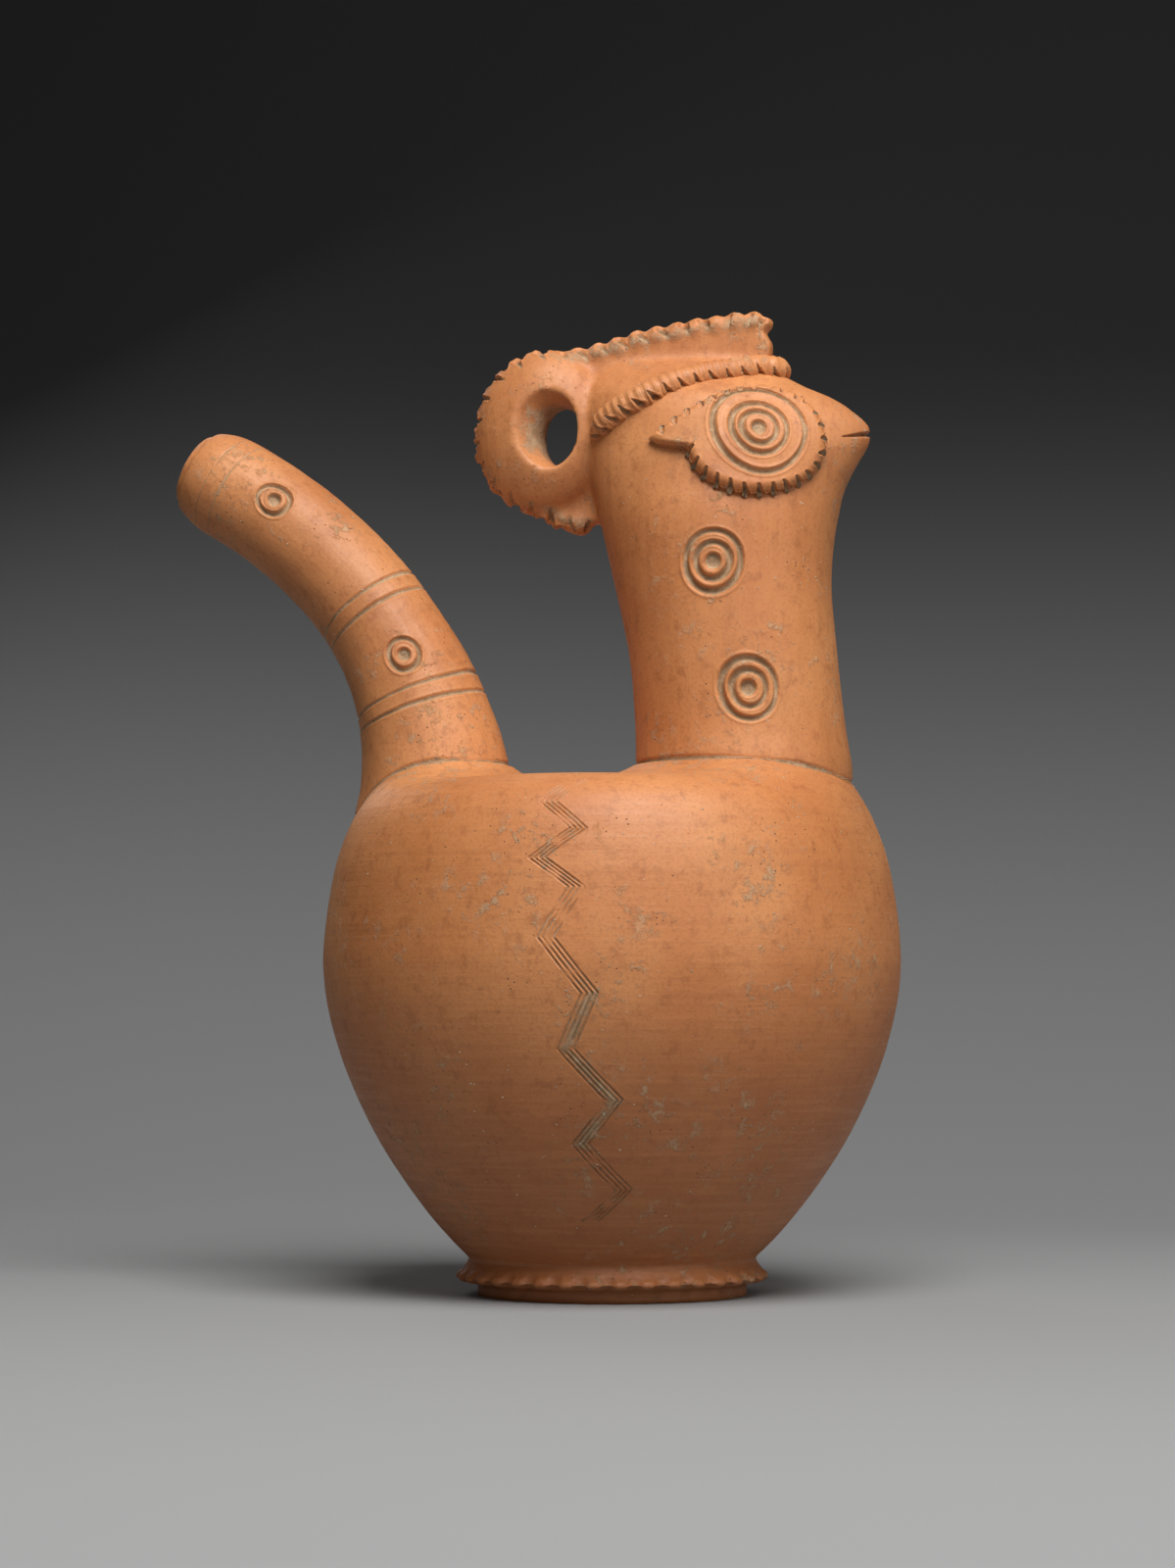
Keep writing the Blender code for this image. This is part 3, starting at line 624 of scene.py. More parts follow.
def surface_of(item):
    """The item's skin, for laying points on."""
    shell = bmesh.new()
    shell.from_mesh(item.data)
    skin = BVHTree.FromBMesh(shell)
    shell.free()
    return skin


PRESS = press_tree()
print("tool marks ready")

# %% [markdown]
# The potter dragged a comb with four teeth down the middle of the near side, changing direction at
# each turn. The comb was never turned, so all its lines are one path, moved sideways. The tree copies
# the path once for each tooth, lays the copies on the skin and lets the pressure come and go. The far
# side isn't shown: it has the same comb with fewer teeth.

# %% Combed zigzag
ZIGZAG = ((0.0062, 0.978), (-0.0026, 0.936), (0.0088, 0.885), (-0.0045, 0.831), (0.0093, 0.777),
          (-0.0007, 0.685), (0.0138, 0.583), (0.0050, 0.482), (0.0196, 0.388), (0.0068, 0.307),
          (0.0191, 0.220), (0.0064, 0.161))
TOOTH_GAP = 0.00185
TOOTH_WIDTH = 0.00046
TOOTH_DEPTH = 0.00062


def comb_tree():
    tree, given = geometry_tree("comb", Path="object", Surface="object", Teeth="count", Gap="size",
                                Seed="size")
    path = object_geometry(tree, given["Path"])
    copies = tree.nodes.new("GeometryNodeDuplicateElements")
    copies.domain = "SPLINE"
    tree.links.new(path.socket, copies.inputs["Geometry"])
    tree.links.new(given["Teeth"].socket, copies.inputs["Amount"])
    number = Wire(tree, copies.outputs["Duplicate Index"])
    shift = (number - (given["Teeth"] - 1.0) * 0.5) * given["Gap"]
    moved = node(tree, "GeometryNodeSetPosition", {},
                 {"Geometry": Wire(tree, copies.outputs["Geometry"]), "Offset": combined(tree, shift)})
    even = node(tree, "GeometryNodeResampleCurve", {"mode": "LENGTH"},
                {"Curve": moved, "Length": 0.0003})
    lines = node(tree, "GeometryNodeCurveToMesh", {}, {"Curve": even})
    laid = laid_on(tree, object_geometry(tree, given["Surface"]), lines)
    fade = drifting(tree, position(tree), given["Seed"], 130.0, 1.0)
    close_tree(tree, given, noted(tree, laid, "press", fade.step(0.30, 0.52) * 0.75 + 0.25))
    return tree


def zigzag_points(side):
    """The comb's path on the near (-1) or far (1) side."""
    heights = [share * BODY_TOP for _, share in ZIGZAG]
    return [(x, side * math.sqrt(body_radius(height) ** 2 - x * x), height)
            for (x, _), height in zip(ZIGZAG, heights)]


COMB = comb_tree()
for side, teeth, rounds in ((-1.0, 4, 3), (1.0, 3, 2)):
    path = add_path("zigzag", zigzag_points(side))
    lines = grow(add_object("comb_lines"), COMB, Path=path, Surface=body, Teeth=teeth, Gap=TOOTH_GAP,
                 Seed=5.0 + side)
    press(body, lines, TOOTH_WIDTH, TOOTH_DEPTH, lip=0.00010, fill=0.62, rounds=rounds, stain=0.08,
          reach=0.0022)
    drop(path)
smear(body, even_path(zigzag_points(-1.0)[6:10], 0.0006), reach=0.0044, stain=0.62)
print("body after combing", len(body.data.polygons), "faces")

# %% [markdown]
# Where a cut repeats along an edge, as on the foot's rim, the crest, the brow strips and the eye pads,
# one tree places it: the path is divided at an even pitch, and each point gets one stroke of the tool,
# turned to the path and the skin, a little uneven as by hand, and laid on the skin.

# %% Strokes along a path
def strokes_tree():
    tree, given = geometry_tree("strokes along a path", Path="object", Surface="object", Pitch="size",
                                Start="size", Stroke="size", Skew="size", Thin="size", Seed="count")
    even = node(tree, "GeometryNodeResampleCurve", {"mode": "LENGTH"},
                {"Curve": object_geometry(tree, given["Path"]), "Length": given["Pitch"]})
    line = node(tree, "GeometryNodeCurvePrimitiveLine", {},
                {"Start": combined(tree, y=given["Start"]),
                 "End": combined(tree, y=given["Start"] + given["Stroke"])})
    dense = node(tree, "GeometryNodeResampleCurve", {}, {"Curve": line, "Count": 20})
    along = node(tree, "GeometryNodeSplineParameter", {}, {}, "Factor")
    weighted = noted(tree, dense, "press", 1.0 - along * given["Thin"])
    stroke = node(tree, "GeometryNodeCurveToMesh", {}, {"Curve": weighted})
    skin = object_geometry(tree, given["Surface"])
    outwards = node(tree, "GeometryNodeSampleNearestSurface", {"data_type": "FLOAT_VECTOR"},
                    {"Mesh": skin, "Value": node(tree, "GeometryNodeInputNormal"),
                     "Sample Position": position(tree)})
    standing = node(tree, "FunctionNodeAlignRotationToVector", {"axis": "Z"}, {"Vector": outwards})
    facing = node(tree, "FunctionNodeAlignRotationToVector", {"axis": "X", "pivot_axis": "Z"},
                  {"Rotation": standing, "Vector": node(tree, "GeometryNodeInputTangent")})
    angle = combined(tree, z=given["Skew"] + between(tree, -0.14, 0.14, given["Seed"]))
    turned = node(tree, "FunctionNodeRotateRotation", {"rotation_space": "LOCAL"},
                  {"Rotation": facing, "Rotate By": node(tree, "FunctionNodeEulerToRotation", {},
                                                         {"Euler": angle})})
    size = between(tree, 0.85, 1.12, given["Seed"] + 1.0)
    placed = node(tree, "GeometryNodeInstanceOnPoints", {},
                  {"Points": even, "Instance": stroke, "Rotation": turned, "Scale": size})
    real = node(tree, "GeometryNodeRealizeInstances", {}, {"Geometry": placed})
    close_tree(tree, given, laid_on(tree, skin, real))
    return tree


STROKES = strokes_tree()


def cut_along(item, points, pitch, start, stroke, width, depth, skew=0.0, thin=0.6, seed=1, rounds=1,
              fill=0.6, lip=0.0, cyclic=False):
    path = add_path("cuts", points, cyclic)
    marks = grow(add_object("strokes"), STROKES, Path=path, Surface=item, Pitch=pitch, Start=start,
                 Stroke=stroke, Skew=skew, Thin=thin, Seed=seed)
    drop(path)
    return press(item, marks, width, depth, lip, fill, rounds)


RIM_SCOOPS = 36
rim = FOOT_RADIUS + RIM_OVERHANG
circle = [(rim * math.cos(turn), rim * math.sin(turn), RIM_HEIGHT + 0.0002)
          for turn in np.linspace(0.0, 2.0 * math.pi, 181)[:-1]]
cut_along(body, circle, 2.0 * math.pi * rim / RIM_SCOOPS, start=-0.0030, stroke=0.0060, width=0.0034,
          depth=0.0016, thin=0.0, seed=11, fill=0.35, cyclic=True)
print("foot rim scooped,", len(body.data.polygons), "faces")

# %% [markdown]
# The spout is a rolled tube that swells at its root and bends back like a lifted tail. Rings of points
# are set square to its bent middle line: up the outside, over the rounded lip and down the bore again,
# so the wall has its true thickness. Each ring also keeps its straightened place, as if the tube were
# unbent, so that marks of smoothing can follow it.

# %% Spout
SPOUT_PLACE = -0.0645
SPOUT_ROOT_HEIGHT = 0.170
SPOUT_LENGTH = 0.1678
SPOUT_ROOT_RADIUS = 0.0262
SPOUT_NECK_RADIUS = 0.0190
SPOUT_COLLAR = 0.0034
SPOUT_COLLAR_LENGTH = 0.065
SPOUT_MOUTH_RADIUS = 0.0142
SPOUT_LIP_LENGTH = 0.016
SPOUT_WALL = 0.0048
SPOUT_LEAN_ROOT = math.radians(-1.4)
SPOUT_LEAN_MOUTH = math.radians(62.0)
SPOUT_BEND = 1.39
SPOUT_COLUMNS = 150
SPOUT_PITCH = 0.0008


def spout_radius(share):
    radius = mix(SPOUT_NECK_RADIUS, SPOUT_ROOT_RADIUS, (1.0 - share) ** 3)
    radius += SPOUT_COLLAR * max(0.0, 1.0 - share * SPOUT_LENGTH / SPOUT_COLLAR_LENGTH)
    lip = max(0.0, 1.0 - (1.0 - share) * SPOUT_LENGTH / SPOUT_LIP_LENGTH)
    return mix(radius, SPOUT_MOUTH_RADIUS, lip ** 2)


def spout_lean(share):
    return mix(SPOUT_LEAN_ROOT, SPOUT_LEAN_MOUTH, 1.0 - max(0.0, 1.0 - share) ** SPOUT_BEND)


def spout_frame(share):
    """Centre, direction and outer-side direction of the spout at a share of its length."""
    count = 60
    x, z = SPOUT_PLACE, SPOUT_ROOT_HEIGHT
    for i in range(count):
        lean = spout_lean(share * (i + 0.5) / count)
        x -= math.sin(lean) * share * SPOUT_LENGTH / count
        z += math.cos(lean) * share * SPOUT_LENGTH / count
    lean = spout_lean(share)
    along = Vector((-math.sin(lean), 0.0, math.cos(lean)))
    across = Vector((math.cos(lean), 0.0, math.sin(lean)))
    return Vector((x, 0.0, z)), along, across


def spout_rows():
    """Share of the length and radius of each ring: outside, lip, then down the bore."""
    count = round(SPOUT_LENGTH / SPOUT_PITCH)
    round_lip = SPOUT_WALL / 2.0
    rows = [(i / count, spout_radius(i / count)) for i in range(count - 3)]
    middle = SPOUT_MOUTH_RADIUS - round_lip
    for turn in np.linspace(0.0, math.pi, 9):
        rows.append((1.0 + round_lip * (math.sin(turn) - 1.0) / SPOUT_LENGTH,
                     middle + round_lip * math.cos(turn)))
    inside = [1.0 - i * 4 / count for i in range(1, count // 4 + 1)]
    return rows + [(share, spout_radius(share) - SPOUT_WALL) for share in inside]


def loft(name, rings, cyclic=False):
    """Skin of quads over rings of equal length."""
    sides = len(rings[0])
    faces = []
    pairs = range(len(rings) if cyclic else len(rings) - 1)
    for i in pairs:
        for j in range(sides):
            k = (j + 1) % sides
            m = (i + 1) % len(rings)
            faces.append((i * sides + j, i * sides + k, m * sides + k, m * sides + j))
    mesh = bpy.data.meshes.new(name)
    mesh.from_pydata([tuple(point) for ring in rings for point in ring], [], faces)
    return add_object(name, mesh)


def set_grain(item, places):
    """Keep where each point would lie if the piece were straight."""
    grain = item.data.attributes.new("grain", "FLOAT_VECTOR", "POINT")
    grain.data.foreach_set("vector", np.array(places, dtype=np.float32).ravel())


def make_spout():
    rings, straight = [], []
    turns = full_turn(SPOUT_COLUMNS, 0.5)
    for share, radius in spout_rows():
        centre, _, across = spout_frame(share)
        rings.append([centre + across * math.cos(turn) * radius
                      + Vector((0.0, math.sin(turn) * radius, 0.0)) for turn in turns])
        straight += [(radius * math.cos(turn), radius * math.sin(turn), share * SPOUT_LENGTH)
                     for turn in turns]
    item = loft("tail_spout", rings, cyclic=True)
    set_grain(item, straight)
    return close_shell(item)


spout = make_spout()
grow(spout, HAND, Height=HAND_HEIGHT, Stretch=(45.0, 45.0, 45.0), Seed=8.0)
print("spout", len(spout.data.polygons), "faces")

# %% [markdown]
# The spout carries two pairs of lines drawn round it, a fainter pair near the mouth, and two stamped
# rings on each side between them. The stamp is the end of a cut cane: it leaves a ring, and a pit from
# its pith. Each ring is drawn in the plane that touches the skin and then laid on the skin.

# %% Bands and stamps of the spout
SPOUT_BANDS = ((0.245, 1.0), (0.472, 1.0), (0.905, 0.45))
BAND_GAP = 0.0062
BAND_WIDTH = 0.0011
BAND_DEPTH = 0.0010
STAMP_WIDTH = 0.0014
STAMP_DEPTH = 0.0016
SPOUT_STAMPS = (0.335, 0.775)
SPOUT_STAMP_OFFSET = 0.0058
SPOUT_STAMP_RING = 0.0058
SPOUT_STAMP_PIT = 0.0020


def lay_ring(skin, centre, radius, squash=1.0, pressure=1.0):
    """Points of a ring of the stamp, and how hard each is pressed."""
    centre, outwards, _, _ = skin.find_nearest(centre)
    side = outwards.cross(Vector((0.0, 0.0, 1.0))).normalized()
    up = side.cross(outwards)
    points, pressures = [], []
    count = max(6, round(2.0 * math.pi * radius / 0.00025))
    for turn in full_turn(count):
        uneven = 1.0 + 0.03 * math.sin(2.0 * turn + 100.0 * centre.x) + 0.01 * math.sin(3.0 * turn)
        place = centre + (side * math.cos(turn) + up * math.sin(turn) * squash) * radius * uneven
        points.append(skin.find_nearest(place)[0])
        pressures.append(pressure * (0.92 + 0.16 * math.sin(turn + 900.0 * centre.z)))
    return points, pressures


def lay_pit(skin, centre, radius):
    points, pressures = [], []
    for share in (0.0, 0.35, 0.7):
        found = lay_ring(skin, centre, radius * share, pressure=1.1) if share else (
            [skin.find_nearest(centre)[0]], [1.1])
        points += found[0]
        pressures += found[1]
    return points, pressures


def stamp(item, centres, radii, pit, width=STAMP_WIDTH, depth=STAMP_DEPTH, squash=1.0, rounds=2):
    skin = surface_of(item)
    points, pressures = [], []
    for centre in centres:
        found = [lay_ring(skin, centre, radius, squash) for radius in radii]
        found.append(lay_pit(skin, centre, pit))
        for some_points, some_pressures in found:
            points += some_points
            pressures += some_pressures
    return press(item, marks_object(points, pressures), width, depth, 0.0002, 1.0, rounds, stain=0.40,
                 reach=0.0028)


def spout_side(share, across, side):
    """A point on the near (-1) or far (1) side of the spout."""
    centre, _, out = spout_frame(share)
    radius = spout_radius(share)
    return centre + out * across + Vector((0.0, side * math.sqrt(radius ** 2 - across ** 2), 0.0))


def band_marks():
    points, pressures = [], []
    for middle, pressure in SPOUT_BANDS:
        for line in (-0.5, 0.5):
            for turn in full_turn(420):
                drift = 0.0004 * math.sin(turn + 60.0 * middle) + 0.0002 * math.sin(3.0 * turn + line)
                share = middle + (line * BAND_GAP + drift) / SPOUT_LENGTH
                centre, _, across = spout_frame(share)
                radius = spout_radius(share)
                points.append(centre + across * math.cos(turn) * radius
                              + Vector((0.0, math.sin(turn) * radius, 0.0)))
                pressures.append(pressure * (0.8 + 0.2 * math.sin(2.0 * turn + line * 5.0)))
    return marks_object(points, pressures)


press(spout, band_marks(), BAND_WIDTH, BAND_DEPTH, lip=0.0001, fill=0.8, rounds=1)
for side in (-1.0, 1.0):
    centres = [spout_side(share, SPOUT_STAMP_OFFSET, side) for share in SPOUT_STAMPS]
    stamp(spout, centres, (SPOUT_STAMP_RING,), SPOUT_STAMP_PIT, width=0.0013)
print("spout carved,", len(spout.data.polygons), "faces")

# %% [markdown]
# Neck and head are one hollow form: a round tube that widens, bends forward and narrows to a beak. A few
# cross-sections give it, each with its back, front, half width and how pointed its front is. Smooth
# curves through these numbers give the sections in between.

# %% Neck and head sections
NECK_PLACE = 0.045
NECK_RADIUS = 0.0375
HEAD_HEIGHT = 0.1505
HEAD_SECTIONS = (
    (-0.040, -0.95, 1.10, 1.02, 2.00), (0.045, -0.95, 1.09, 1.02, 2.00),
    (0.088, -0.95, 1.06, 0.99, 2.00), (0.282, -1.00, 0.965, 0.98, 2.00),
    (0.488, -1.17, 0.912, 0.98, 2.00), (0.627, -1.30, 0.98, 0.96, 1.95),
    (0.694, -1.37, 1.06, 0.91, 1.80), (0.753, -1.42, 1.19, 0.875, 1.60),
    (0.794, -1.45, 1.285, 0.835, 1.45), (0.834, -1.48, 1.28, 0.79, 1.37),
    (0.868, -1.50, 1.145, 0.735, 1.40), (0.903, -1.50, 0.94, 0.65, 1.52),
    (0.935, -1.50, 0.66, 0.51, 1.78), (0.966, -1.48, 0.45, 0.32, 2.00),
    (1.002, -1.44, 0.35, 0.16, 2.00))
HEAD_COLUMNS = 180
HEAD_ROWS = 150


def head_x(share):
    return NECK_PLACE + share * NECK_RADIUS


def head_z(share):
    return BODY_TOP + share * HEAD_HEIGHT


def smooth_rows(rows, count):
    """More rows of numbers, on smooth curves through the given ones."""
    given = np.array(rows)
    slopes = np.gradient(given, given[:, 0], axis=0)
    goals = np.linspace(given[0, 0], given[-1, 0], count)
    made = []
    for goal in goals:
        i = min(np.searchsorted(given[:, 0], goal, "right") - 1, len(given) - 2)
        span = given[i + 1, 0] - given[i, 0]
        t = (goal - given[i, 0]) / span
        made.append((2 * t ** 3 - 3 * t ** 2 + 1) * given[i] + (t ** 3 - 2 * t ** 2 + t) * span * slopes[i]
                    + (3 * t ** 2 - 2 * t ** 3) * given[i + 1] + (t ** 3 - t ** 2) * span * slopes[i + 1])
    return np.array(made)


SECTIONS = smooth_rows(HEAD_SECTIONS, HEAD_ROWS)


def head_section(height):
    """Back, front, half width and front roundness of the head at a height share."""
    return [float(np.interp(height, SECTIONS[:, 0], SECTIONS[:, k])) for k in range(1, 5)]


def head_ring(height):
    back, front, half, roundness = head_section(height)
    middle = 0.5 * (back + front)
    ring = []
    for turn in full_turn(HEAD_COLUMNS, 0.5):
        power = 2.0 / roundness if math.cos(turn) > 0.0 else 1.0
        x = middle + (front - middle) * math.copysign(abs(math.cos(turn)) ** power, math.cos(turn))
        y = half * math.copysign(abs(math.sin(turn)) ** power, math.sin(turn))
        ring.append(Vector((head_x(x), y * NECK_RADIUS, head_z(height))))
    return ring


def flank(x, z):
    """Distance of the head's or neck's skin from the middle plane."""
    place = (x - NECK_PLACE) / NECK_RADIUS
    back, front, half, roundness = head_section((z - BODY_TOP) / HEAD_HEIGHT)
    middle = 0.5 * (back + front)
    forward = place > middle
    reach = abs(place - middle) / ((front - middle) if forward else (middle - back))
    power = roundness if forward else 2.0
    return NECK_RADIUS * half * max(0.0, 1.0 - min(reach, 1.0) ** power) ** (1.0 / power)


head = close_shell(loft("neck_and_head", [head_ring(row[0]) for row in SECTIONS]))
print("neck and head", len(head.data.polygons), "faces")

# %% [markdown]
# The crest is a slab of clay set on edge along the head. Its rim is a thicker roll, pressed into beads,
# and behind the head it swells into a strap round the finger hole. Roll and slab are simple shapes that
# overlap. A voxel remesh then fuses them with the head as wet clay would fuse, and a few rounds of
# smoothing give the soft joins of luted clay.

# %% Crest, loop and finger hole
CREST_THICKNESS = 0.0082
CREST_ROLL = 0.0046
CREST_PITCH = 0.0074
CREST_BEAD = 0.0026
CREST_EDGE = ((0.385, 1.072), (0.365, 1.100), (0.27, 1.114), (0.05, 1.119), (-0.35, 1.108),
              (-0.84, 1.089), (-1.285, 1.062), (-1.88, 1.030), (-2.19, 0.994), (-2.40, 0.938),
              (-2.52, 0.871), (-2.56, 0.800), (-2.45, 0.734), (-2.22, 0.682), (-1.95, 0.640),
              (-1.70, 0.604), (-1.42, 0.590))
CREST_ROOT = ((-0.90, 0.650), (-0.60, 0.800), (0.10, 0.930), (0.34, 1.000), (0.36, 1.040))
LOOP_PLACE = -1.84
LOOP_HEIGHT = 0.845
LOOP_HALF = (0.0265, 0.0165, 0.0300)
HOLE_PLACE = -1.66
HOLE_HEIGHT = 0.830
HOLE_HALF = (0.0075, 0.0108)
HOLE_FLARE = 0.0068
VOXEL = 0.00120


def head_points(shares):
    return [Vector((head_x(x), 0.0, head_z(z))) for x, z in shares]


def crest_path(inset, spacing):
    """The crest's edge, moved inwards."""
    path = smooth_path(head_points(CREST_EDGE), spacing)
    centre = Vector((head_x(LOOP_PLACE + 0.6), 0.0, head_z(LOOP_HEIGHT)))
    moved = []
    for i, point in enumerate(path):
        along = path[min(len(path) - 1, i + 1)] - path[max(0, i - 1)]
        inwards = Vector((-along.z, 0.0, along.x)).normalized()
        if inwards.dot(centre - point) < 0.0:
            inwards.negate()
        moved.append(point + inwards * inset)
    return moved


def crest_slab():
    outline = crest_path(CREST_ROLL, 0.002) + head_points(CREST_ROOT)
    half = Vector((0.0, CREST_THICKNESS / 2.0, 0.0))
    item = add_object("crest_slab")
    with faces_of(item) as shell:
        sheet = shell.faces.new([shell.verts.new(point - half) for point in outline])
        moved = bmesh.ops.extrude_face_region(shell, geom=[sheet])["geom"]
        bmesh.ops.translate(shell, vec=2.0 * half,
                            verts=[part for part in moved if isinstance(part, bmesh.types.BMVert)])
        bmesh.ops.triangulate(shell, faces=shell.faces)
    return close_shell(item)


def roll(name, path, radii, sides=20, flat=1.0):
    """A roll of clay along a path, with its own radius at every point."""
    rings = []
    for i, (point, radius) in enumerate(zip(path, radii)):
        along = (path[min(len(path) - 1, i + 1)] - path[max(0, i - 1)]).normalized()
        side = Vector((0.0, 1.0, 0.0))
        side = (side - along * side.dot(along)).normalized()
        out = along.cross(side)
        rings.append([point + side * math.cos(turn) * radius * flat + out * math.sin(turn) * radius
                      for turn in full_turn(sides)])
    return close_shell(loft(name, rings))


def crest_roll():
    spacing = CREST_PITCH / 12.0
    path = crest_path(CREST_ROLL, spacing)
    radii = [CREST_ROLL - CREST_BEAD * (0.5 + 0.5 * math.cos(2.0 * math.pi * i / 12.0)) ** 4
             for i in range(len(path))]
    return roll("crest_roll", path, radii, flat=1.12)


def loop_lump():
    item = add_object("loop_lump")
    with faces_of(item) as shell:
        bmesh.ops.create_uvsphere(shell, u_segments=48, v_segments=24, radius=1.0)
        for vertex in shell.verts:
            vertex.co.x = head_x(LOOP_PLACE) + vertex.co.x * LOOP_HALF[0]
            vertex.co.y *= LOOP_HALF[1]
            vertex.co.z = head_z(LOOP_HEIGHT) + vertex.co.z * LOOP_HALF[2]
    return item


def hole_cutter():
    """Oval hole, opening out towards both faces."""
    rings = []
    for share in np.linspace(-1.0, 1.0, 17):
        flare = HOLE_FLARE * share ** 2
        centre = Vector((head_x(HOLE_PLACE) - flare, share * (LOOP_HALF[1] + 0.004),
                         head_z(HOLE_HEIGHT) + 0.5 * flare))
        rings.append([centre + Vector((math.cos(turn) * (HOLE_HALF[0] + flare), 0.0,
                                       math.sin(turn) * (HOLE_HALF[1] + flare)))
                      for turn in full_turn(64)])
    return close_shell(loft("hole", rings))


def fuse(item, others, voxel, smoothing):
    """Melt overlapping lumps into one skin."""
    with faces_of(item) as shell:
        for other in others:
            shell.from_mesh(other.data)
    drop(*others)
    remesh = item.modifiers.new("fuse", "REMESH")
    remesh.mode = "VOXEL"
    remesh.voxel_size = voxel
    keep_modified(item)
    return smoothed(item, smoothing)


def smoothed(item, rounds):
    soften = item.modifiers.new("soften", "SMOOTH")
    soften.factor = 0.5
    soften.iterations = rounds
    return keep_modified(item)


def cut(item, tool):
    difference = item.modifiers.new("cut", "BOOLEAN")
    difference.operation = "DIFFERENCE"
    difference.solver = "EXACT"
    difference.object = tool
    keep_modified(item)
    drop(tool)
    return item


fuse(head, [crest_slab(), crest_roll(), loop_lump()], 0.0010, 3)
cut(head, hole_cutter())
fuse(head, [], VOXEL, 2)
close_shell(head)
grow(head, HAND, Height=0.0005, Stretch=(60.0, 60.0, 22.0), Seed=2.0)
print("head with crest", len(head.data.polygons), "faces")

# %% [markdown]
# The neck has two stamps on each side, each with two rings and a pit. The beak is closed but for a
# narrow slit at its tip. The crest's roll gets a slanting cut beside every bead, on both sides, and on
# the loop these cuts run right across the edge and part it into lumps. Earth sits in the finger hole.

# %% Carving of neck, beak and crest
NECK_STAMPS = ((-0.045, 0.495), (0.285, 0.200))
NECK_STAMP_RINGS = (0.0103, 0.0062)
NECK_STAMP_PIT = 0.0024
BEAK_SLIT_SHARE = 0.814
BEAK_SLIT_LENGTH = 0.0085
LOOP_NOTCHES_FROM = -1.50
LOOP_NOTCH_HALF = 0.0125
OUTSIDE = 0.016


def path_length(path):
    return sum((b - a).length for a, b in zip(path, path[1:]))


def crest_cut_path(side):
    """Beside the crest's roll, in the direction that turns the strokes inwards."""
    path = [point + Vector((0.0, side * CREST_ROLL * 1.1, 0.0)) for point in crest_path(CREST_ROLL, 0.001)]
    return path if side < 0.0 else path[::-1]


def notch_rows(item, places):
    """Rows of points right across the loop's outer edge, one row at every cut."""
    skin = surface_of(item)
    centre = Vector((head_x(LOOP_PLACE + 0.6), 0.0, head_z(LOOP_HEIGHT)))
    points, depths = [], []
    for place in places:
        if place.x > head_x(LOOP_NOTCHES_FROM):
            continue
        out = (place - centre).normalized() * OUTSIDE
        for share in np.linspace(-1.0, 1.0, 26):
            points.append(skin.find_nearest(place + out + Vector((0.0, LOOP_NOTCH_HALF * share, 0.0)))[0])
            depths.append(1.0 - 0.45 * share * share)
    return marks_object(points, depths)


def beak_slit_marks():
    tip = head_x(head_section(BEAK_SLIT_SHARE)[1])
    points = []
    for back in np.linspace(0.0, BEAK_SLIT_LENGTH, 40):
        x, z = tip - back, head_z(BEAK_SLIT_SHARE) - 0.25 * back
        points += [Vector((x, side * flank(x, z), z)) for side in (-1.0, 1.0)]
    across = flank(tip - 0.0004, head_z(BEAK_SLIT_SHARE))
    points += [Vector((tip, y, head_z(BEAK_SLIT_SHARE))) for y in np.linspace(-across, across, 12)]
    depths = [1.0 - 0.7 * (tip - point.x) / BEAK_SLIT_LENGTH for point in points]
    return marks_object(points, depths)


for side, rounds in ((-1.0, 2), (1.0, 1)):
    centres = [Vector((head_x(x), side * flank(head_x(x), head_z(z)), head_z(z))) for x, z in NECK_STAMPS]
    stamp(head, centres, NECK_STAMP_RINGS, NECK_STAMP_PIT, width=0.0015, depth=0.0017, rounds=rounds)
press(head, beak_slit_marks(), width=0.0012, depth=0.0030, fill=0.5)
crest_length = path_length(crest_path(CREST_ROLL, 0.001))
crest_step = crest_length / round(crest_length / CREST_PITCH) * 0.9999
for side, rounds in ((-1.0, 1), (1.0, 0)):
    cut_along(head, crest_cut_path(side), crest_step, start=-0.0046, stroke=0.0062, width=0.0017,
              depth=0.0024, skew=0.30, thin=0.75, seed=21, rounds=rounds, fill=0.9, lip=0.0003)
near_hole = [Vector((head_x(HOLE_PLACE) - 0.0030, y, head_z(HOLE_HEIGHT) + 0.0015))
             for y in np.linspace(-0.0190, 0.0, 60)]
smear(head, near_hole, reach=0.0150, stain=1.15)
notches = notch_rows(head, even_path(crest_path(CREST_ROLL, 0.001), crest_step))
press(head, notches, width=0.0021, depth=0.0033, lip=0.0003, fill=0.75, rounds=1)
for side, stain in ((-1.0, 0.46), (1.0, 0.36)):
    smear(head, crest_cut_path(side), reach=0.0075, stain=stain)
print("head carved,", len(head.data.polygons), "faces")

# %% [markdown]
# Each eye is a pad of clay the size of a large coin, laid on the cheek with a short tail towards the
# back, where its upper edge runs straight off the disc. Three rings and a pit are stamped in it. Its
# lower and front edge is cut into teeth, and its upper edge is nicked. The pad is a fan of rings round
# the pit that follows the head's skin at its own height, and its edge rolls down into the clay below.

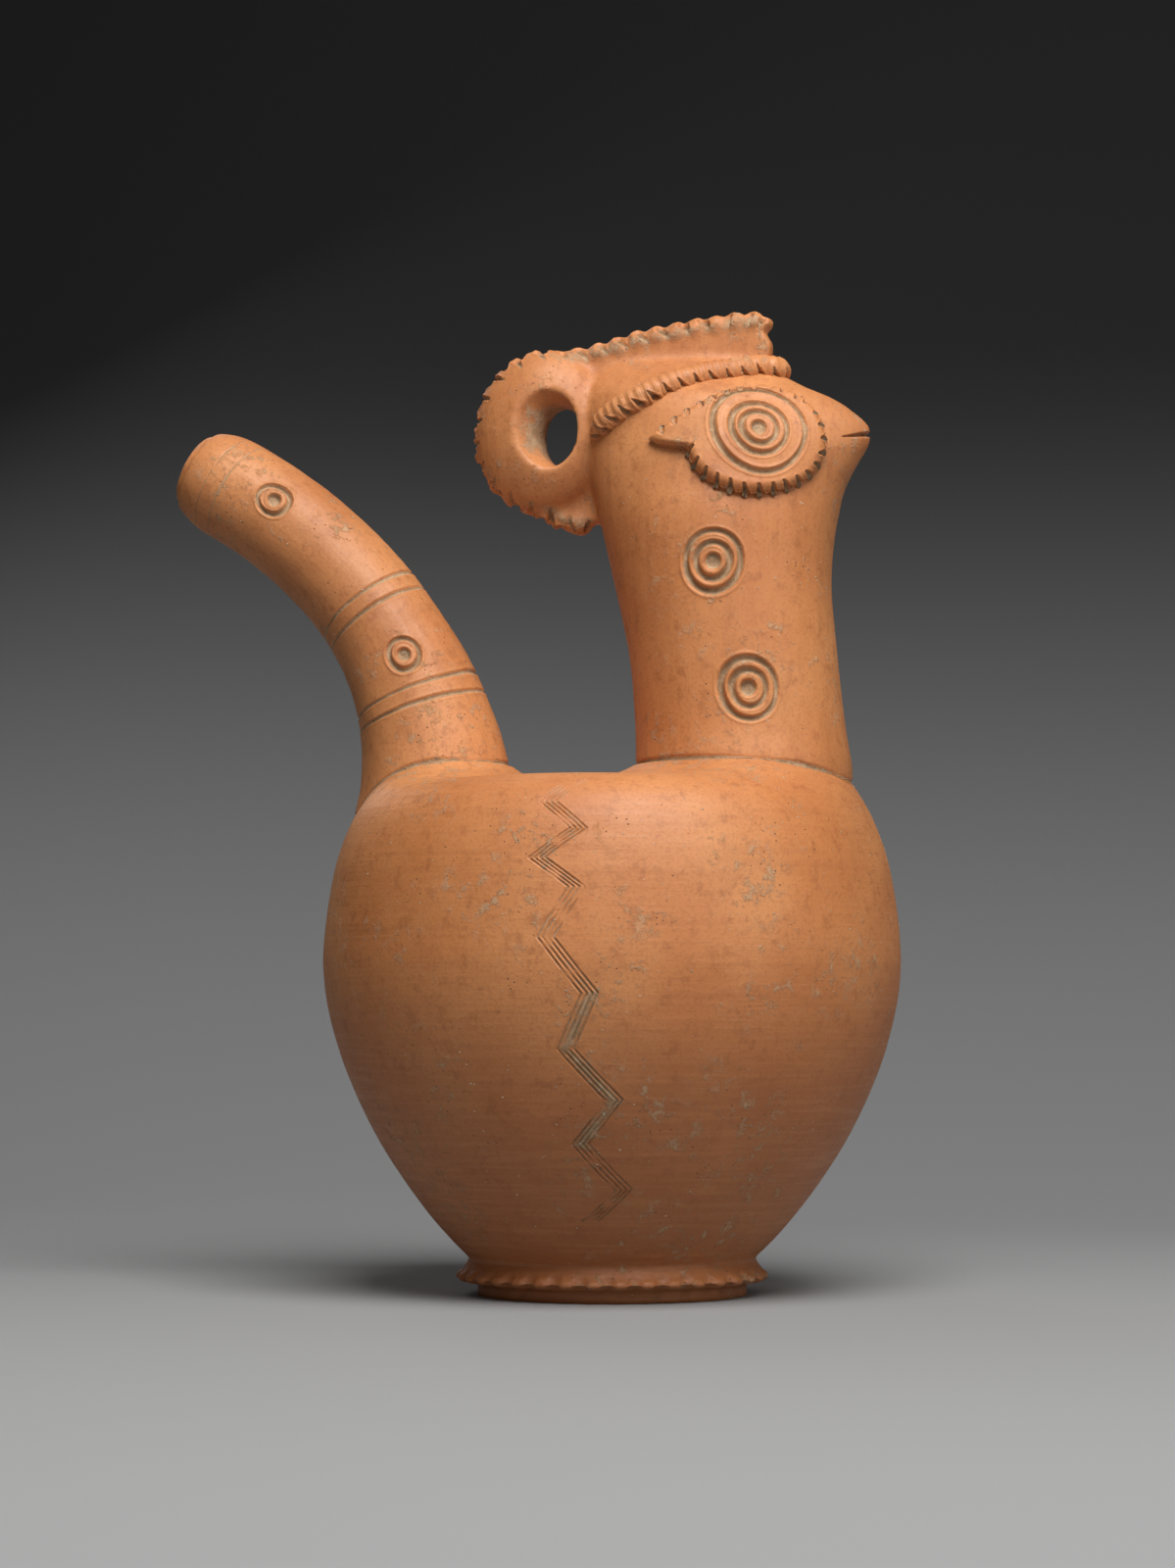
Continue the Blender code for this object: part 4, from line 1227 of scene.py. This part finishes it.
# %% Eye pads
EYE_PLACE = 0.335
EYE_HEIGHT = 0.801
EYE_PAD_RADIUS = 0.0226
EYE_PAD_SHIFT = (-0.0012, -0.0034)
EYE_TAIL_START = math.radians(131.0)
EYE_TAIL_TURN = math.radians(183.0)
EYE_TAIL_END = math.radians(199.0)
EYE_SQUASH = 0.87
EYE_LIFT_LOW = 0.0046
EYE_LIFT_MIDDLE = 0.0036
EYE_LIFT_HIGH = 0.0034
EYE_RINGS = (0.0063, 0.0100, 0.0168)
EYE_PIT = 0.0022
EYE_TEETH = (-158.0, 40.0, 1.0)
EYE_TOOTH_PITCH = 0.0050
EYE_NICKS = (50.0, 179.0, 0.95)
EYE_NICK_PITCH = 0.0049
EYE_COLUMNS = 240
EYE_ROWS = 44


def eye_outline(turn):
    """Distance of the pad's edge from the pit."""
    shift_x, shift_z = EYE_PAD_SHIFT
    along = shift_x * math.cos(turn) + shift_z * math.sin(turn)
    aside = shift_z * math.cos(turn) - shift_x * math.sin(turn)
    disc = along + math.sqrt(EYE_PAD_RADIUS ** 2 - aside ** 2)
    turn %= 2.0 * math.pi
    straight = min(max(turn, EYE_TAIL_START), EYE_TAIL_TURN) - EYE_TAIL_START
    back = min(max((turn - EYE_TAIL_TURN) / (EYE_TAIL_END - EYE_TAIL_TURN), 0.0), 1.0)
    tail = (1.0 / math.cos(straight) - 1.0) * (1.0 - back * back * (3.0 - 2.0 * back))
    return disc * (1.0 + 0.93 * tail)


def eye_point(share, turn, lift, side):
    """A point of the pad at a share of the way to its edge, lifted off the head's skin."""
    x = head_x(EYE_PLACE) + share * eye_outline(turn) * math.cos(turn)
    z = head_z(EYE_HEIGHT) + share * eye_outline(turn) * math.sin(turn) * EYE_SQUASH
    step = 0.0015
    slope_x = (flank(x + step, z) - flank(x - step, z)) / (2.0 * step)
    slope_z = (flank(x, z + step) - flank(x, z - step)) / (2.0 * step)
    outwards = Vector((-slope_x, 1.0, -slope_z)).normalized()
    place = Vector((x, flank(x, z), z)) + outwards * lift
    return Vector((place.x, side * place.y, place.z))


def eye_lift(turn, share=1.0):
    """Height of the pad over the head's skin: proud below, nearly level with it above."""
    lower = 0.5 - 0.5 * math.sin(turn)
    return mix(EYE_LIFT_MIDDLE, mix(EYE_LIFT_HIGH, EYE_LIFT_LOW, lower), share)


def eye_pad(side):
    turns = full_turn(EYE_COLUMNS)
    rings = []
    for row in range(1, EYE_ROWS + 1):
        share = 1.0 - (1.0 - row / EYE_ROWS) ** 1.15
        drop_share = max(0.0, (share - 0.86) / 0.14)
        fall = math.sqrt(1.0 - 0.9 * drop_share ** 2)
        rings.append([eye_point(share, turn, eye_lift(turn, share) * fall, side) for turn in turns])
    for share, lift in ((1.01, 0.4), (1.0, -0.1), (0.97, -0.8)):
        rings.append([eye_point(share, turn, eye_lift(turn) * (lift if lift > 0 else 1.0)
                                - (0.0 if lift > 0 else 0.004 - lift * 0.002), side) for turn in turns])
    return close_shell(loft("eye_pad_near" if side < 0.0 else "eye_pad_far", rings))


def eye_arc(side, first, last, share):
    """A path near the pad's edge between two turns, in the direction that faces strokes inwards."""
    turns = np.radians(np.linspace(first, last, 160))
    path = [eye_point(share, turn, 0.5 * eye_lift(turn), side) for turn in turns]
    return path if side < 0.0 else path[::-1]


eyes = []
for side in (-1.0, 1.0):
    pad = eye_pad(side)
    centre = eye_point(0.0, 0.0, EYE_LIFT_MIDDLE, side)
    stamp(pad, [centre], EYE_RINGS, EYE_PIT, squash=0.98, rounds=1)
    cut_along(pad, eye_arc(side, *EYE_TEETH), EYE_TOOTH_PITCH, start=-0.0024, stroke=0.0062,
              width=0.0016, depth=0.0024, skew=0.25, seed=31, fill=0.9, lip=0.0003)
    cut_along(pad, eye_arc(side, *EYE_NICKS), EYE_NICK_PITCH, start=-0.0028, stroke=0.0058,
              width=0.0019, depth=0.0030, skew=-0.2, thin=0.5, seed=37, fill=0.9, lip=0.0002)
    eyes.append(pad)
print("eye pads", [len(pad.data.polygons) for pad in eyes], "faces")

# %% [markdown]
# The brow is a rope-like strip that starts behind one eye, rises along the foot of the crest and comes
# round its front to the other side. It is a roll along that path, thinner at its ends, and a pointed
# tool cut its lower side at an even pitch, which makes it look twisted.

# %% Brow strip
BROW_RADIUS = 0.0048
BROW_PITCH = 0.0057
BROW_PATH = ((-1.30, 0.816), (-1.08, 0.859), (-0.80, 0.894), (-0.52, 0.926), (-0.24, 0.950),
             (0.05, 0.966), (0.27, 0.977), (0.36, 0.974))


def brow_path(spacing, out_shift=0.0, up_shift=0.0):
    """Along the near side, round the front and back along the far side."""
    side = []
    for point in smooth_path(head_points(BROW_PATH), spacing):
        out = max(flank(point.x, point.z), 0.36 * CREST_THICKNESS) + out_shift
        side.append(Vector((point.x, -out, point.z + up_shift)))
    front = [side[-1] + Vector((0.0016 + out_shift, 0.0, 0.0))]
    front[0].y *= 0.45
    half = side + front
    whole = half + [Vector((point.x, -point.y, point.z)) for point in reversed(half)]
    return smooth_path(whole, spacing)


def brow_roll():
    path = brow_path(0.0007)
    length = path_length(path)
    places = np.linspace(0.0, length, len(path))
    beads = round(length / BROW_PITCH)
    rings = []
    for i, (point, place) in enumerate(zip(path, places)):
        along = (path[min(len(path) - 1, i + 1)] - path[max(0, i - 1)]).normalized()
        out = along.cross(Vector((0.0, 0.0, 1.0))).normalized()
        up = out.cross(along)
        ends = min(1.0, 0.35 + min(place, length - place) / 0.012)
        bead = 0.0004 * math.cos(2.0 * math.pi * place / length * beads) ** 2
        radius = (BROW_RADIUS - bead) * ends
        rings.append([point + (out * math.cos(turn) + up * math.sin(turn)) * radius
                      for turn in full_turn(36)])
    return close_shell(loft("brow_strip", rings))


brow = brow_roll()
grow(brow, HAND, Height=0.0005, Stretch=(120.0, 120.0, 120.0), Seed=6.0)
brow_cuts = brow_path(0.001, 0.9 * BROW_RADIUS, -0.0018)
cut_along(brow, brow_cuts, BROW_PITCH, start=-0.0030, stroke=0.0052, width=0.0016, depth=0.0027,
          skew=0.35, thin=0.75, seed=41, rounds=2, fill=1.0, lip=0.0003)
print("brow strip", len(brow.data.polygons), "faces")

# %% [markdown]
# Where neck and spout were set on the body, the joint was only smeared over, and a thin line still shows
# it. Its place follows from the rules of the two forms that meet: the ring of the neck or spout is
# lowered until it touches the shoulder. Both skins are pressed in a little along it.

# %% Luting seams
SEAM_WIDTH = 0.0013
SEAM_DEPTH = 0.0007


def on_shoulder(x, y):
    return Vector((x, y, body_height(math.hypot(x, y)) + drawn_up(x, y)))


def neck_seam():
    points = []
    for turn in np.linspace(0.0, 2.0 * math.pi, 900):
        height = 0.0
        for _ in range(6):
            back, front, half, _ = head_section(height)
            x = head_x(0.5 * (back + front) + 0.5 * (front - back) * math.cos(turn))
            place = on_shoulder(x, NECK_RADIUS * half * math.sin(turn))
            height = (place.z - BODY_TOP) / HEAD_HEIGHT
        points.append(place)
    return points


def spout_seam():
    points = []
    for turn in np.linspace(0.0, 2.0 * math.pi, 700):
        share = 0.03
        for _ in range(8):
            centre, along, across = spout_frame(max(0.0, share))
            radius = spout_radius(max(0.0, share))
            place = centre + across * math.cos(turn) * radius
            place.y = math.sin(turn) * radius
            share += (on_shoulder(place.x, place.y).z - place.z) / along.z / SPOUT_LENGTH * 0.7
        points.append(on_shoulder(place.x, place.y))
    return points


def uneven_pressure(points):
    return [0.75 + 0.3 * math.sin(140.0 * point.x + 90.0 * point.y) for point in points]


for item, seam in ((body, neck_seam()), (body, spout_seam()), (head, neck_seam()), (spout, spout_seam())):
    press(item, marks_object(seam, uneven_pressure(seam)), SEAM_WIDTH, SEAM_DEPTH, fill=0.7, rounds=1)
print("seams pressed; body", len(body.data.polygons), "faces")

# %% [markdown]
# The clay was tempered with coarse grit, and after firing it lay in the earth. White grains and crumbs
# of dried soil stick in the skin. They are tiny faceted lumps of twenty faces, scattered over all
# pieces and sunk to their middle, more where the marks hold earth.

# %% Grit and crumbs of earth
GRIT = {"Density": 4500.0, "Lodged": 0.0, "Least": 0.00016, "Most": 0.00042}
CRUMBS = {"Density": 1500.0, "Lodged": 160000.0, "Least": 0.00018, "Most": 0.00050}


def scatter_tree():
    tree, given = geometry_tree("crumbs", Surface="object", Density="size", Lodged="size", Least="size",
                                Most="size", Seed="count")
    skin = object_geometry(tree, given["Surface"])
    density = given["Density"] + named(tree, "earth").step(0.3, 0.7) * given["Lodged"]
    spread = tree.nodes.new("GeometryNodeDistributePointsOnFaces")
    tree.links.new(skin.socket, spread.inputs["Mesh"])
    tree.links.new(density.socket, enabled(spread.inputs, "Density"))
    tree.links.new(given["Seed"].socket, spread.inputs["Seed"])
    lump = node(tree, "GeometryNodeMeshIcoSphere", {}, {"Radius": 1.0, "Subdivisions": 1}, "Mesh")
    size = between(tree, given["Least"], given["Most"], given["Seed"] + 7.0)
    flat = combined(tree, size, size * 0.7, size * 0.45)
    values = {"Points": Wire(tree, spread.outputs["Points"]), "Instance": lump, "Scale": flat,
              "Rotation": Wire(tree, spread.outputs["Rotation"])}
    placed = node(tree, "GeometryNodeInstanceOnPoints", {}, values)
    close_tree(tree, given, placed)
    return tree


SCATTER = scatter_tree()


def scattered(name, sizes, seed):
    """Lumps on every clay piece, as one object."""
    shell = bmesh.new()
    for i, piece in enumerate(clay_pieces):
        lumps = grow(add_object("lumps"), SCATTER, Surface=piece, Seed=seed + i, **sizes)
        shell.from_mesh(lumps.data)
        drop(lumps)
    made = add_object(name)
    shell.to_mesh(made.data)
    shell.free()
    return made


clay_pieces = [body, spout, head, brow, *eyes]
grit = scattered("white_grit", GRIT, 50)
crumbs = scattered("earth_crumbs", CRUMBS, 80)
print("grit", len(grit.data.polygons), "faces, crumbs", len(crumbs.data.polygons), "faces")

# %% [markdown]
# Fired clay has no single colour. The fire leaves lighter and redder clouds, the potter's wiping and the
# burnishing stone leave fine streaks along the way the hand moved, and the soil leaves grey-beige crust
# in every hollow and in scuffed patches. The material adds these one after the other. Streaks are noise
# that is stretched along the hand's way: round the body, and up and down on neck and spout. The body's
# lower half is painted a darker red-brown, partly a darker firing and partly painted shade where it turns
# away from the light above. Tiny pits are coloured near-black as painted shade.

# %% Fired clay
LIGHT_CLAY = (0.61, 0.250, 0.088, 1.0)
MIDDLE_CLAY = (0.51, 0.180, 0.055, 1.0)
DARK_CLAY = (0.28, 0.085, 0.026, 1.0)
CRUST = (0.46, 0.320, 0.190, 1.0)
LODGED = (0.285, 0.190, 0.105, 1.0)
# colour of the tiny pits: painted shade inside them
PAINTED_PIT_SHADE = (0.070, 0.028, 0.013, 1.0)


def mix_color(tree, share, below, above):
    return node(tree, "ShaderNodeMix", {"data_type": "RGBA"}, {"Factor": share, "A": below, "B": above},
                "Result")


def noise(tree, place, scale, detail=4.0, stretch=(1.0, 1.0, 1.0), roughness=0.55):
    stretched = node(tree, "ShaderNodeMapping", {}, {"Vector": place, "Scale": stretch})
    return node(tree, "ShaderNodeTexNoise", {}, {"Vector": stretched, "Scale": scale, "Detail": detail,
                                                 "Roughness": roughness})


def fired_clay(name, streak, lower_shade_and_firing=0.0, straightened=False):
    material, tree, shader, place = new_material(name)
    along = place
    if straightened:
        along = node(tree, "ShaderNodeAttribute", {"attribute_name": "grain"}, {}, "Vector")
    earth = node(tree, "ShaderNodeAttribute", {"attribute_name": "earth"}, {}, "Fac")
    clouds = noise(tree, place, 16.0, 5.0)
    slow = noise(tree, place, 7.0, 3.0)
    fine = noise(tree, along, 1.0, 6.0, streak)
    broad = noise(tree, along, 0.35, 4.0, streak)
    grain = noise(tree, place, 900.0, 3.0)
    # painted shade and a darker firing: the colour darkens towards the bottom, partly in place of the shade
    # on the lower body
    low = (1.0 - place.part("Z").step(0.040, 0.132)) * lower_shade_and_firing

    color = mix_color(tree, clouds.step(0.34, 0.66), MIDDLE_CLAY, LIGHT_CLAY)
    color = mix_color(tree, slow.step(0.46, 0.72) * 0.50, color, DARK_CLAY)
    color = mix_color(tree, low * 0.56, color, DARK_CLAY)
    color = mix_color(tree, broad.step(0.48, 0.74) * 0.17, color, DARK_CLAY)
    color = mix_color(tree, fine.step(0.42, 0.70) * 0.20, color, LIGHT_CLAY)
    mottle = noise(tree, place, 190.0, 7.0, roughness=0.70)
    color = mix_color(tree, mottle.step(0.50, 0.68) * 0.42, color, DARK_CLAY)
    color = mix_color(tree, grain.step(0.45, 0.75) * 0.32, color, DARK_CLAY)

    scuffs = noise(tree, place, 210.0, 9.0, roughness=0.74)
    patches = noise(tree, place, 30.0, 5.0, roughness=0.6)
    scuffed = scuffs.step(0.535, 0.62) * patches.step(0.46, 0.62)
    lodged = (earth * (scuffs * 3.0 - 0.5)).step(0.25, 0.60)
    color = mix_color(tree, scuffed * 0.62, color, CRUST)
    color = mix_color(tree, lodged * 0.85, color, mix_color(tree, mottle.step(0.42, 0.62), LODGED, CRUST))
    crust = scuffed.top(lodged)

    cells = node(tree, "ShaderNodeTexVoronoi", {}, {"Vector": place, "Scale": 420.0}, "Distance")
    gaps = noise(tree, place, 60.0, 2.0)
    pits = (1.0 - cells.step(0.06, 0.16)) * gaps.step(0.52, 0.60)
    # painted shade: the pits are only bump, and their near-black colour stands in for the shade inside them
    color = mix_color(tree, pits * 0.85, color, PAINTED_PIT_SHADE)

    rough = 0.56 + crust * 0.34 - fine.step(0.40, 0.80) * 0.12
    relief = fine * 0.22 + grain * 0.18 + crust * (0.20 + scuffs * 0.50) - pits * 0.60 + broad * 0.18
    bump = node(tree, "ShaderNodeBump", {}, {"Strength": 0.62, "Distance": 0.0007,
                                             "Height": relief + mottle * 0.34})
    tree.links.new(color.socket, shader.inputs["Base Color"])
    tree.links.new(rough.clamped().socket, shader.inputs["Roughness"])
    tree.links.new(bump.socket, shader.inputs["Normal"])
    shader.inputs["Specular IOR Level"].default_value = 0.45
    return material


def crumb_material(name, color, other):
    material, tree, shader, place = new_material(name)
    tint = mix_color(tree, noise(tree, place, 300.0).step(0.35, 0.65), color, other)
    tree.links.new(tint.socket, shader.inputs["Base Color"])
    shader.inputs["Roughness"].default_value = 0.9
    return material


# only the body gets the lower half's painted shade and darker firing
wiped_round = fired_clay("clay_wiped_round", (30.0, 30.0, 700.0), lower_shade_and_firing=1.0)
stroked_up = fired_clay("clay_stroked_up", (420.0, 420.0, 26.0))
stroked_along = fired_clay("clay_stroked_along", (420.0, 420.0, 26.0), straightened=True)
pinched = fired_clay("clay_pinched", (160.0, 160.0, 160.0))
white_grain = crumb_material("grit_white", (0.55, 0.47, 0.36, 1.0), (0.42, 0.30, 0.19, 1.0))
soil = crumb_material("dried_earth", (0.30, 0.22, 0.14, 1.0), (0.40, 0.32, 0.23, 1.0))
print("six finishes")

# %% [markdown]
# Each piece gets its finish and rides on the one rigid body. The turned body also stands for the CAD
# solid, so the plain solid isn't shown below the finished skins.

# %% Dress the pieces
FINISHES = ((body, wiped_round), (spout, stroked_along), (head, stroked_up), (brow, pinched),
            (eyes[0], pinched), (eyes[1], pinched), (grit, white_grain), (crumbs, soil))
for piece, finish in FINISHES:
    piece.data.materials.clear()
    piece.data.materials.append(finish)
    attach(piece, "root")
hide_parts("vessel")
triangles = {piece.name: sum(len(face.vertices) - 2 for face in piece.data.polygons)
             for piece, _ in FINISHES}
print("triangles", triangles, "in all", sum(triangles.values()))
